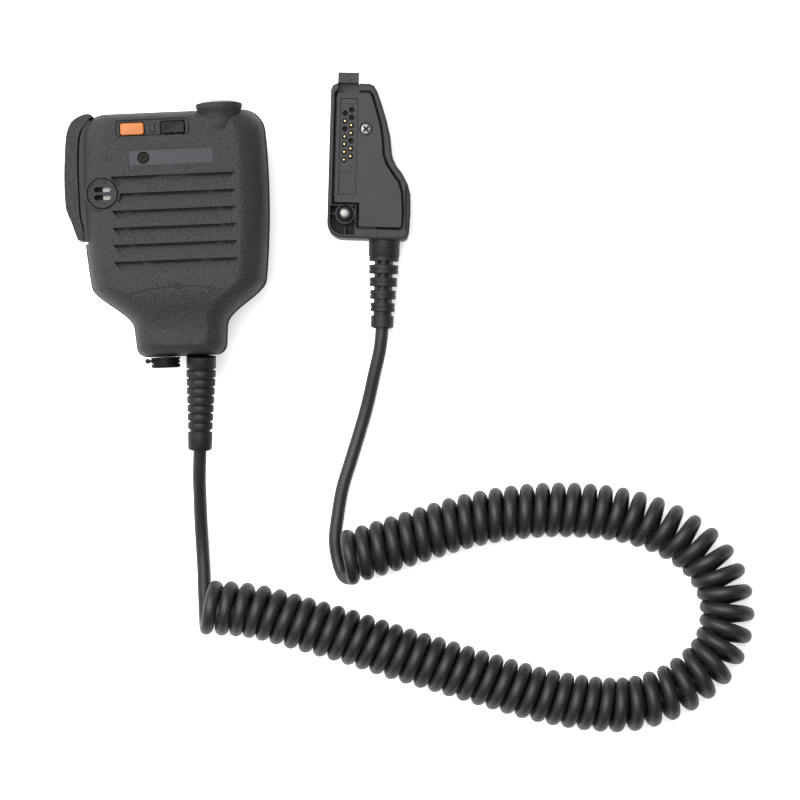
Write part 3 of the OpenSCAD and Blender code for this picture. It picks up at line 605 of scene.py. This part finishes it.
def caseHoles():
    c = case
    return [rod(4.01, c["bottom"] - 1, c["bottom"] + 7, alongY(c["jack"][0], 0, c["jack"][1])),
            rod(5.61, c["bottom"] - 1, c["bottom"] + 7, alongY(c["gland"][0], 0, c["gland"][1])),
            barRecess(c["barWall"]),
            rod(0.85, 13.5, 35.5, placed(*c["barPin"])),
            rod(2.5, 19.7, 29.3, placed(*c["barPin"])),
            block((-31.5, 34.6, 19.7), (-22.7, 41.6, 29.3)),
            rod(2.2, -26, -21.5, alongX(0, 8, 22.5))]


def bossRods(radius, low, high):
    return [rod(radius, low, high, placed(*spot), 24) for spot in case["screws"]]


wallBlock = ((-28.6, -4.5), (-22.6, 41.5))
frontRoom = carved(caseLoft(case["frontRoom"], case["roomEndShare"]),
                   [block((*wallBlock[0], 20), (*wallBlock[1], 45)), rod(3.0, 20, 45, placed(*case["barPin"])),
                    rod(6.4, 33.4, 45, placed(*face["port"]))] + bossRods(2.6, 20, 45))
frontBody = carved(caseLoft(case["front"], case["endShare"]), louvreTools())
portSeat = spun([(0, 33.4), (6.4, 33.4), (6.4, 40.2), (6.3, 40.5), (6.0, 40.7), (0, 40.7)], 64,
                placed(*face["port"]))
frontBody = carved(frontBody, [portSeat], "UNION")
collarSpace = spun([(0, 34.9), (4.41, 34.9), (4.41, 37.4), (8.21, 43.9), (8.21, 46), (0, 46)], 64, knobPlace())
screwHoles = [rod(1.01, 22, 32, placed(*spot), 24) for spot in case["screws"]]
frontBody = carved(frontBody, [frontRoom] + frontTools() + caseHoles() + [collarSpace] + screwHoles)
finishPiece(frontBody, "case_front", "microphone", "case", "case_plastic", ["front_shell"], edge=0.16, angle=32)

rearRoom = carved(caseLoft(case["rearRoom"], case["roomEndShare"]),
                  [block((*wallBlock[0], 5), (*wallBlock[1], 30)), rod(3.0, 5, 16.2, placed(*case["barPin"])),
                   rod(6.0, 5, 14.4, placed(*case["swivel"]))] + bossRods(3.4, 5, 30))
rearBody = carved(caseLoft(case["rear"], case["endShare"]),
                  [rearRoom] + caseHoles() + bossRods(1.25, 5, 30) + bossRods(2.4, 5, 13)
                  + [rod(1.6, 5, 15, placed(*case["swivel"]))])
finishPiece(rearBody, "case_back", "microphone", "case", "case_plastic", ["rear_shell"], edge=0.16, angle=32)
f = face
clothFoot = f["louvreTop"] - (f["louvres"] - 1) * f["louvrePitch"] - 3
cloth = block((f["louvreEnds"][0], clothFoot, 38.0), (f["louvreEnds"][1], f["louvreTop"] + 1, 38.3))
finishPiece(cloth, "speaker_cloth", "microphone", "black", "cone", edge=0.1)
print("case halves made")

# the front face: panel, keys, lamp, label and port
panelSize = tuple(s - 2 * f["panelGroove"] for s in f["panelSize"])
panelShape = prism(roundedOutline(f["panel"], panelSize, 0.9), 40.0, 40.8)
holeSize = tuple(s + 2 * f["keyGap"] for s in f["keySize"])
keyHoles = [prism(roundedOutline(spot, holeSize, 0.9), 35, 45) for spot in (f["orange"], f["black"])]
panelShape = carved(panelShape, keyHoles + [prism(roundedOutline(f["lamp"], (1.6, 3.1), 0.75), 35, 45)])
finishPiece(panelShape, "button_panel", "microphone", "case", "black_plastic", ["button_bezel"], edge=0.12)


def keyCap(spot, name, body, look, slotName, node, dish):
    # a rounded cap on a narrower foot, with a softly crowned top
    cap = prism(roundedOutline(spot, f["keySize"], 0.8, 5), 37.4, f["keyTop"] - 0.25)
    lid = topOf(cap)
    bmesh.ops.inset_individual(cap, faces=[lid], thickness=0.3, depth=0.2)
    bmesh.ops.inset_individual(cap, faces=[lid], thickness=0.5, depth=dish)
    foot = prism(roundedOutline(spot, tuple(s - 1 for s in f["keySize"]), 0.5, 3), 36.6, 37.6)
    finishPiece(carved(cap, [foot], "UNION"), name, body, look, slotName, [node], edge=0.12, angle=28)


keyCap(f["orange"], "orange_cap", "orange_key", "orange", "orange_plastic", "orange_button", 0.05)
keyCap(f["black"], "black_cap", "black_key", "keyBlack", "black_plastic", "black_button", -0.1)

lampShape = prism(roundedOutline(f["lamp"], f["lampSize"], 0.7, 5), 33.2, 40.5)
lampLid = topOf(lampShape)
bmesh.ops.inset_individual(lampShape, faces=[lampLid], thickness=0.3, depth=0.15)
finishPiece(lampShape, "lamp_window", "microphone", "lens", "lens", ["led_lens"], angle=60)

labelShape = prism(roundedOutline(f["label"], tuple(s - 0.24 for s in f["labelSize"]), 0.5), 40.5, 40.86)
ringPlace = placed(f["ringX"], f["label"][1])
labelShape = carved(labelShape, [rod(f["ringRadius"] + 0.05, 35, 45, ringPlace)])
finishPiece(labelShape, "label_plate_cover", "microphone", "label", "case_plastic", ["label_plate"], edge=0.08)

ringShape = spun([(0, 38.4), (2.05, 38.4), (2.05, 40.9), (1.9, 41.05), (1.78, 40.4), (1.4, 40.4), (1.25, 41.0),
                  (0.8, 41.0), (0.7, 39.7), (0, 39.7)], 48, ringPlace)
finishPiece(ringShape, "label_ring", "microphone", "black", "black_plastic", ["indicator_ring"], angle=40)

portShape = spun([(0, 38.2), (5.3, 38.2), (5.3, 40.35), (5.15, 40.62), (4.9, 40.68), (4.7, 40.6), (0, 40.6)], 64,
                 placed(*f["port"]))
slots = [prism(roundedOutline((f["port"][0], f["port"][1] + side * f["portSlotShift"]), f["portSlot"], 0.85), 35, 45)
         for side in (-1, 1)]
finishPiece(carved(portShape, slots), "port_cover", "microphone", "case", "case_plastic", ["microphone_port"],
            edge=0.1, angle=32)


def halfDisc(spot, radius, start, low, high):
    outline = [(spot[0] + radius * math.cos(math.radians(start + 180 * i / 24)),
                spot[1] + radius * math.sin(math.radians(start + 180 * i / 24))) for i in range(25)]
    return prism(outline, low, high)


finishPiece(halfDisc(f["port"], 4.5, -90, 37.5, 38.1), "port_screen", "microphone", "mesh", "steel",
            ["microphone_mesh"], edge=0.05)
finishPiece(halfDisc(f["port"], 4.5, 90, 37.5, 37.9), "port_felt", "microphone", "paper", "cone", edge=0.05)
print("front face made")

# the talk bar on the left side
bar = {
    "outline": [(-32, 0.2), (-31.2, -0.6), (-29.8, 0.4), (-30, 4), (-30.8, 8), (-31, 20), (-30.6, 32), (-29.4, 38),
                (-26.4, 42.0), (-24.8, 43.3), (-26.4, 44.2), (-29.2, 43.6), (-32.3, 41.6), (-34.1, 38),
                (-34.9, 33), (-35.7, 22), (-35.7, 13), (-35.2, 9.6), (-33.5, 5)],
    "boot": [(-29.8, 0), (-28.4, -1.4), (-27, -1.3), (-26.6, 1), (-26.6, 5), (-26.6, 34), (-26.4, 38), (-25, 40.6),
             (-26.6, 42.2), (-29.1, 38), (-30.2, 32), (-30.65, 20), (-30.45, 8), (-29.7, 4)],
    "grooves": 6, "groovePitch": 4.4, "grooveFrom": 9.5,
}


def roundOff(outline, parts):
    # a closed outline with its corners eased
    line = []
    for i in range(len(outline)):
        a, b, c, d = (Vector((*outline[(i + k) % len(outline)], 0)) for k in range(-1, 3))
        for j in range(parts):
            t = j / parts
            point = 0.5 * (2 * b + (c - a) * t + (2 * a - 5 * b + 4 * c - d) * t ** 2
                           + (3 * b - a - 3 * c + d) * t ** 3)
            line.append((point.x, point.y))
    return line


barShape = prism(roundOff(bar["outline"], 3), *case["barHeights"])
barShape = carved(barShape, [block((-40, bar["grooveFrom"] + bar["groovePitch"] * i, 18.6),
                                   (-35.3, bar["grooveFrom"] + bar["groovePitch"] * i + 1.1, 30.4))
                             for i in range(bar["grooves"])])
barArm = carved(prism([(-31.2, 36), (-29, 41), (-23.6, 38.8), (-23.6, 35.2)], 20, 29),
                [rod(2.2, 20, 29, placed(*case["barPin"]))], "UNION")
barShape = carved(carved(barShape, [barArm], "UNION"), [rod(0.85, 10, 40, placed(*case["barPin"]))])
finishPiece(barShape, "talk_bar_cover", "talk_bar", "case", "case_plastic", ["ptt_bar"], edge=0.7, segments=3,
            angle=40)
bootShape = prism(roundOff(bar["boot"], 3), case["barHeights"][0] + 0.6, case["barHeights"][1] - 0.6)
bootShape = carved(bootShape, [block((-31, 34.6, 19.8), (-23, 43.6, 29.2))])
bootNub = rod(1.6, -27.6, -24.2, alongX(0, 8, 22.5), 24)
finishPiece(carved(bootShape, [bootNub], "UNION"), "talk_bar_bellows", "talk_bar", "rubber", "rubber", ["ptt_boot"],
            edge=0.4, segments=3, angle=40)

# the round button on top
collarShape = spun([(2.35, 35), (4.4, 35), (4.4, 35.5), (5.2, 36.2), (5.75, 37.4), (6.0, 39.0), (6.25, 40.9),
                    (6.9, 42.4), (8.15, 43.8), (8.2, 44.0), (8.2, 45.3), (8.0, 45.5), (7.45, 45.5), (7.3, 45.3),
                    (7.3, 43.3), (2.35, 43.3), (2.35, 35)], 72, knobPlace())
finishPiece(collarShape, "knob_collar", "microphone", "case", "case_plastic", ["button_collar"], angle=40)
domeShape = spun([(0, 31), (2.3, 31), (2.3, 44.3), (7.0, 44.3), (7.1, 45.5), (6.7, 45.9), (5.6, 46.35), (4.0, 46.7),
                  (2.0, 46.88), (0, 46.92)], 64, knobPlace())
finishPiece(domeShape, "knob_dome", "round_key", "knobGrey", "grey_plastic", ["top_button"], angle=50)
print("talk bar and round button made")


# the sleeves where the cord goes in
def alongLine(start, heading):
    # an axis along heading, with the second axis facing up
    z = Vector(heading).normalized()
    y = (Vector((0, 0, 1)) - z * z.z).normalized()
    x = y.cross(z)
    return Matrix.Translation(start) @ Matrix((x, y, z)).transposed().to_4x4()


micSleeve = {"start": (9.8, -43.0, 23.4), "end": (7.6, -76.8, 18.6), "ribs": 7, "pitch": 3.14, "first": 5.5,
             "ribWidth": 2.3, "outer": 5.3, "taper": 0.14, "core": 3.6, "tipLength": 6.3}


def micSleeveShape(s):
    axis = Vector(s["end"]) - Vector(s["start"])
    length = axis.length
    profile = [(0, 0.45), (s["outer"], 0.45), (s["outer"], 4.4), (s["outer"] - 0.2, 4.65), (s["core"], 4.7)]
    for i in range(s["ribs"]):
        low = s["first"] + s["pitch"] * i
        high = low + s["ribWidth"]
        radius = s["outer"] - s["taper"] * i
        profile += [(s["core"], low), (radius - 0.15, low), (radius, low + 0.15), (radius, high - 0.15),
                    (radius - 0.15, high), (s["core"], high)]
    tip = length - s["tipLength"]
    profile += [(s["core"], tip), (4.4, tip), (4.45, tip + 0.3), (4.3, length - 0.5), (3.9, length), (2.45, length),
                (2.45, length - 2), (0, length - 2)]
    bm = spun(profile, 56)
    for vert in bm.verts:  # the ribs are wider in front and behind than at the sides
        reach = math.hypot(vert.co.x, vert.co.y)
        number = round((vert.co.z - s["first"] - s["ribWidth"] / 2) / s["pitch"])
        if reach > 4.0 and 0 <= number < s["ribs"] and vert.co.z > 5.2:
            middle = s["first"] + s["ribWidth"] / 2 + s["pitch"] * number
            if abs(vert.co.z - middle) < s["ribWidth"] * 0.51:
                vert.co.z = middle + (vert.co.z - middle) * (0.94 + 0.28 * (abs(vert.co.y) / reach) ** 2)
    bm.transform(alongLine(s["start"], axis))
    return bm


finishPiece(micSleeveShape(micSleeve), "mic_sleeve", "microphone", "rubber", "rubber", ["mic_strain_relief"], angle=40)

# the plug
plug = {
    "place": (73.1, 26.5, 0), "turn": -4.0, "height": 15.6,
    "outline": [(-14.8, 23.5), (-14.1, 25.2), (-12.3, 26), (-0.8, 26), (0.9, 25.2), (2.2, 23), (4, 18), (5.8, 12.4),
                (7.2, 7), (7.9, 1), (8.4, -1), (9.8, -3.6), (12, -6.3), (13.9, -9.8), (15, -13.6), (15.2, -20),
                (14.9, -27), (14.2, -29.3), (12.6, -30)],
    "corner": (-9.3, -24.5, 5.5), "pocketCorner": (-9.3, -24.1, 4.6),
    "cover": [(-13.2, 22.4), (-12.4, 23.2), (-0.6, 23.2), (0.6, 22), (2.2, 17), (3.8, 11.8), (4.8, 6), (5.3, 0.4),
              (6.4, -2.6), (8.6, -5.8), (11, -9), (12.3, -13), (12.8, -20), (12.6, -25.6), (11.8, -26.4),
              (-3.4, -26.4), (-4.2, -25.8), (-4.2, -17.8), (-13.2, -17.8)],
    "strip": (-8.0, 3.1), "stripSize": (6.2, 34.6), "screw": (-1.7, 9.6), "thumb": (-8.4, -21.2),
    "sleeve": (6.0, -30.0, 8.0),
    "columns": [(-7.05, 16.4, (0, 0, 1, 1, 0, 1, 1)), (-9.35, 15.1, (0, 1, 0, 1, 1, 1, 1))], "contactPitch": 2.8,
}
plugPlace = Matrix.Translation(plug["place"]) @ Matrix.Rotation(math.radians(plug["turn"]), 4, "Z")


def plugPiece(bm, *given, **options):
    bm.transform(plugPlace)
    return finishPiece(bm, *given, **options)


def drawnIn(outline, inset):
    # a clockwise outline moved evenly inward
    points = [Vector(point) for point in outline]
    moved = []
    for before, here, after in zip(points[-1:] + points, points, points[1:] + points[:1]):
        first, second = ((b - a).normalized() for a, b in ((before, here), (here, after)))
        first, second = Vector((first.y, -first.x)), Vector((second.y, -second.x))
        moved.append(tuple(here + (first + second) * (inset / (1 + first.dot(second)))))
    return moved


p = plug
cornerX, cornerY, cornerRadius = p["corner"]
plugOutline = p["outline"] + [(cornerX - cornerRadius * math.sin(math.radians(a)),
                               cornerY - cornerRadius * math.cos(math.radians(a))) for a in range(0, 91, 10)]
rimChamfer = prism(p["cover"], p["height"] - 0.4, p["height"] + 0.05)
widened = drawnIn(p["cover"], -0.45)
for vert in rimChamfer.verts:  # the opening's edge slopes outward
    if vert.co.z > p["height"]:
        nearest = min(range(len(widened)), key=lambda k: (vert.co.xy - Vector(p["cover"][k])).length)
        vert.co.xy = widened[nearest]
shellShape = carved(softPrism(plugOutline, 0, p["height"], 1.0), [prism(p["cover"], 5.6, 20), rimChamfer])
shellShape = carved(shellShape, [rod(2.2, 2.5, 12.6, placed(*p["screw"])),
                                 block((-12.4, 21.4, 2.5), (-0.4, 24, 12.55)),
                                 block((-3.4, -27, 2.5), (4.6, -25.2, 12.55)),
                                 block((-12.3, 24, 8.6), (-4.8, 29.9, 14.2))], "UNION")
pocketX, pocketY, pocketRadius = p["pocketCorner"]
pocketCurve = [(pocketX - pocketRadius * math.cos(math.radians(a)), pocketY - pocketRadius * math.sin(math.radians(a)))
               for a in range(0, 91, 10)]
pocketOutline = [(-4.8, -18.3), (-13.9, -18.3)] + pocketCurve + [(-4.8, -28.7)]
pocket = carved(prism(pocketOutline, 9, 20), [rod(3.6, 5, 14.6, placed(*p["thumb"]))])
shellTools = [pocket, rod(2.25, -1, 20, placed(*p["thumb"])), rod(5.8, -1, 5.2, placed(*p["thumb"])),
              rod(3.1, 11, 17, placed(*p["thumb"])), rod(1.05, 5, 15, placed(*p["screw"])),
              rod(5.61, -40, -25, alongY(p["sleeve"][0], 0, p["sleeve"][2])),
              prism([(12.95, -10.6), (13.75, -10.9), (14.15, -26.4), (13.3, -26.8)], 13.6, 20),
              block((-12.2, 22.6, 11.2), (-4.4, 26.15, 20))]
for x in (-0.6, 3.3, 10.9):
    shellTools.append(block((x - 0.14, -31, 15.1), (x + 0.14, -26, 20)))
shellShape = carved(shellShape, shellTools)
shellShape = carved(shellShape, [block((-14.0, -21.4, 8.8), (-11.9, -21.05, 13.6)),
                                 block((-8.6, -28.8, 8.8), (-8.25, -25.9, 13.6))], "UNION")
hookMark = spun([(0.8, 13.9), (1.2, 13.9), (1.2, 14.5), (0.8, 14.5), (0.8, 13.9)], 32, placed(-8.6, 28.1))
shellShape = carved(shellShape, [hookMark], "UNION")
bmesh.ops.triangulate(shellShape, faces=shellShape.faces, ngon_method="EAR_CLIP")
plugShellPiece = plugPiece(shellShape, "plug_body", "microphone", "smooth", "case_plastic", ["plug_shell"], angle=40)

# painted shade: a thin black sheet laid on the pocket's floor darkens the recess
pocketShadeSheet = carved(prism(pocketOutline, 9.02, 9.1), [rod(3.62, 5, 14.6, placed(*p["thumb"]))])
pocketShadePiece = plugPiece(pocketShadeSheet, "pocket_floor", "microphone", "black", "black_plastic")

coverShape = carved(prism(drawnIn(p["cover"], 0.8), 12.6, 14.8),
                    [prism(roundedOutline(p["strip"], tuple(s + 0.25 for s in p["stripSize"]), 0.3, 3), 10, 20),
                     rod(2.35, 13.8, 20, placed(*p["screw"])), rod(1.05, 10, 15, placed(*p["screw"]))])
plugCoverPiece = plugPiece(coverShape, "plug_lid", "microphone", "smooth", "case_plastic", ["plug_cover"], edge=0.18,
                           segments=2, angle=40)

spots = [(x, y - p["contactPitch"] * i, kinds[i]) for x, y, kinds in p["columns"] for i in range(7)]
blockShape = carved(prism(roundedOutline(p["strip"], tuple(s - 0.1 for s in p["stripSize"]), 0.3, 3), 8.2, 14.2),
                    [prism(roundedOutline((p["strip"][0], 19.4), (5, 1.7), 0.8), 13.5, 14.6),
                     prism(roundedOutline((-8.5, -4.7), (3.3, 2.6), 0.2, 3), 13.5, 14.5)], "UNION")
blockShape = carved(blockShape, [rod(1.02, 11.5, 20, placed(x, y), 24) for x, y, kind in spots]
                    + [rod(0.85, 5, 12, placed(x, y), 24) for x, y, kind in spots])
contactBlockPiece = plugPiece(blockShape, "contact_strip", "microphone", "smooth", "black_plastic", ["contact_block"],
                              edge=0.1, angle=40)
# painted shade: black discs at the bottom of the empty contact holes darken them
wellShadeShape = joined([rod(0.98, 11.52, 11.6, placed(x, y), 24) for x, y, kind in spots if not kind])
wellShadePiece = plugPiece(wellShadeShape, "contact_wells", "microphone", "black", "black_plastic")
pinShape = joined([spun([(0, 8.9), (0.8, 8.9), (0.8, 14.1), (0.72, 14.4), (0.5, 14.7), (0.25, 14.84), (0, 14.88)], 24,
                        placed(x, y)) for x, y, kind in spots if kind])
pinPiece = plugPiece(pinShape, "spring_pins", "spring_contacts", "gold", "gold", ["contact_pins"], angle=50)

screwShape = spun([(0, 6), (1.0, 6), (1.0, 13.8), (2.0, 13.8), (2.0, 14.5), (1.8, 14.8), (1.2, 14.95), (0, 15.0)], 40,
                  placed(*p["screw"]))
crossTools = []
for turn in (45, 135):
    arm = prism(roundedOutline((0, 0), (2.7, 0.72), 0.3, 3), 14.0, 16)
    arm.transform(placed(*p["screw"]) @ Matrix.Rotation(math.radians(turn), 4, "Z"))
    crossTools.append(arm)
# painted shade: a thin black disc inside the screw head darkens its cross
plugScrewShade = plugPiece(rod(1.6, 13.9, 14.12, placed(*p["screw"])), "screw_recess", "microphone", "black",
                          "black_plastic", edge=0.02)
plugScrewPiece = plugPiece(carved(screwShape, crossTools), "cover_screw", "microphone", "steel", "steel",
                           ["plug_screw"], edge=0.06, angle=40)

thumbShape = spun([(0, 0.6), (5.1, 0.6), (5.4, 0.9), (5.4, 4.5), (5.1, 4.8), (2.2, 4.8), (2.2, 11.6), (1.7, 11.65),
                   (1.7, 12.35), (2.2, 12.4), (2.2, 17.8), (1.9, 18.35), (1.2, 18.6), (0, 18.6)], 64)
for vert in thumbShape.verts:  # grip lines round the knob
    reach = math.hypot(vert.co.x, vert.co.y)
    if reach > 5.3 and round(math.atan2(vert.co.y, vert.co.x) / (2 * math.pi / 64)) % 2:
        vert.co.x *= 0.955
        vert.co.y *= 0.955
thumbShape.transform(placed(*p["thumb"]))
thumbX, thumbY = p["thumb"]
thumbShape = carved(thumbShape, [block((thumbX - 7, thumbY - 0.7, -1), (thumbX + 7, thumbY + 0.7, 1.8))])
thumbPiece = plugPiece(thumbShape, "thumb_screw_body", "plug_thumb_screw", "steel", "steel", ["thumb_screw"],
                       edge=0.08, angle=50)

plugSleeve = {"collar": 5.6, "collarEnd": 5.95, "first": 7.6, "notch": 1.45, "band": 3.13, "bands": 5, "outer": 5.3,
              "taper": 0.3, "core": 3.3, "end": 31.6, "length": 32.0,
              "webs": ((-3.0, -2.0), (-0.35, 0.35), (2.0, 3.3))}


def plugSleeveShape(s):
    collar, core = s["collar"], s["core"]
    line = s["collarEnd"]
    profile = [(0, -2.3), (collar, -2.3), (collar, line - 0.2), (collar - 0.15, line), (collar - 0.7, line + 0.02),
               (collar - 0.7, line + 0.18), (collar - 0.2, line + 0.2), (collar - 0.25, s["first"] - 0.1),
               (collar - 0.35, s["first"]), (core, s["first"])]
    webs = []
    for i in range(s["bands"]):
        last = i == s["bands"] - 1
        low = s["first"] + s["notch"] + (s["notch"] + s["band"]) * i
        high = s["end"] if last else low + s["band"]
        radius = s["outer"] - s["taper"] * i
        profile += [(core, low), (radius - 0.12, low), (radius, low + 0.12)]
        if not last:
            middle = (low + high) / 2
            profile += [(radius, middle - 0.15), (radius - 0.45, middle - 0.08), (radius - 0.45, middle + 0.08),
                        (radius, middle + 0.15)]
        profile += [(radius, high - 0.12), (radius - 0.12, high), (core, high)]
        for left, right in s["webs"]:
            rise = math.sqrt(radius ** 2 - max(abs(left), abs(right)) ** 2) - 0.12
            for side in (-1, 1):
                near, far = sorted((side * 2.0, side * rise))
                webs.append(block((left, near, low - s["notch"] - 0.05), (right, far, low + 0.05)))
    profile += [(core, s["length"]), (2.45, s["length"]), (2.45, s["length"] - 2), (0, s["length"] - 2)]
    bm = carved(spun(profile, 56), webs, "UNION")
    bm.transform(plugPlace @ alongLine(p["sleeve"], (0, -1, 0)))
    return bm


plugSleevePiece = finishPiece(plugSleeveShape(plugSleeve), "plug_sleeve", "microphone", "rubber", "rubber",
                              ["plug_strain_relief"], angle=40)
print("plug made")

# the jack's cap
cap = {"place": (-3.0, -47.0, 23.4), "hinge": (-9.4, -44.4)}
capShape = spun([(0, 0), (4.5, 0), (5.05, 0.25), (5.2, 0.5), (5.2, 1.25), (4.7, 1.4), (4.7, 1.7), (5.2, 1.85),
                 (5.2, 2.45), (4.75, 2.6), (4.75, 2.85), (5.2, 3.0), (5.2, 3.8), (3.65, 3.85), (3.65, 2.1),
                 (0, 2.1)], 56, alongY(*cap["place"]))
hingeX, hingeY = cap["hinge"]
capShape = carved(capShape, [block((hingeX, hingeY - 0.5, 21.9), (hingeX + 2.6, hingeY + 0.5, 24.9)),
                             rod(0.9, 21.9, 24.9, placed(hingeX, hingeY), 24)], "UNION")
finishPiece(capShape, "jack_cover_cap", "jack_cover", "black", "rubber", ["jack_cap"], edge=0.1, angle=40)


# pieces that keep the frame's own shape, with their edges eased
def easedCopy(node, name, body, look, slotName, edge, angle=40):
    bm = bmesh.new()
    bm.from_mesh(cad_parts[node].data)
    bmesh.ops.scale(bm, vec=(1 / millimetre,) * 3, verts=bm.verts)
    bmesh.ops.remove_doubles(bm, verts=bm.verts, dist=1e-3)
    bmesh.ops.dissolve_limit(bm, angle_limit=math.radians(2), verts=bm.verts, edges=bm.edges)
    return finishPiece(bm, name, body, look, slotName, [node], edge=edge, angle=angle)


easedCopy("clip_arm", "clip_lever", "clip_jaw", "clip", "clip_metal", 0.35)
easedCopy("clip_base", "clip_plate", "clip_swivel", "clip", "clip_metal", 0.25)
easedCopy("clip_boss", "clip_post", "microphone", "black", "black_plastic", 0.2)

keptNodes = {
    "rubber": ["shell_gasket", "capsule_boot", "speaker_gasket", "plug_seal"],
    "steel": ["case_screws", "ptt_pin", "clip_pin", "clip_spring", "clip_screw",
              "microphone_capsule", "speaker_magnet", "button_switches"],
    "board": ["circuit_board", "button_board", "plug_board"],
    "black": ["jack_socket", "ptt_switch", "top_switch", "speaker_basket", "retaining_ring"],
    "paper": ["speaker_cone"],
}
for look, names in keptNodes.items():
    for name in names:
        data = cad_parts[name].data
        data.materials.clear()
        data.materials.append(finish[look])
print("kept nodes painted")

# floor and light
stageSettings = {"floorSize": 6000.0, "skyStrength": 0.2, "sky": (1.0, 1.0, 1.0)}
lightSettings = [
    # name, place, aim, width, power
    ("window", (-640, 430, 800), (60, -60, 0), 900, 16.0),
    ("ceiling", (-260, 240, 1650), (80, -60, 0), 1400, 52.0),
]
floorMesh = bmesh.new()
bmesh.ops.create_grid(floorMesh, x_segments=1, y_segments=1, size=stageSettings["floorSize"] / 2 * millimetre)
floorData = bpy.data.meshes.new("floor")
floorMesh.to_mesh(floorData)
floorMesh.free()
floorData.materials.append(finish["floor"])
floorPiece = bpy.data.objects.new("floor", floorData)
scene.collection.objects.link(floorPiece)
floorPiece.location.z = -0.05 * millimetre

for name, place, aim, width, power in lightSettings:
    lightData = bpy.data.lights.new(name, "AREA")
    lightData.shape = "SQUARE"
    lightData.size = width * millimetre
    lightData.energy = power
    light = bpy.data.objects.new(name, lightData)
    scene.collection.objects.link(light)
    light.location = Vector(place) * millimetre
    light.rotation_euler = (Vector(aim) - Vector(place)).to_track_quat("-Z", "Y").to_euler()

world = bpy.data.worlds.new("studio")
world.use_nodes = True
world.node_tree.nodes["Background"].inputs["Color"].default_value = (*stageSettings["sky"], 1)
world.node_tree.nodes["Background"].inputs["Strength"].default_value = stageSettings["skyStrength"]
scene.world = world
scene.view_settings.view_transform = "Standard"
print("floor and light set")
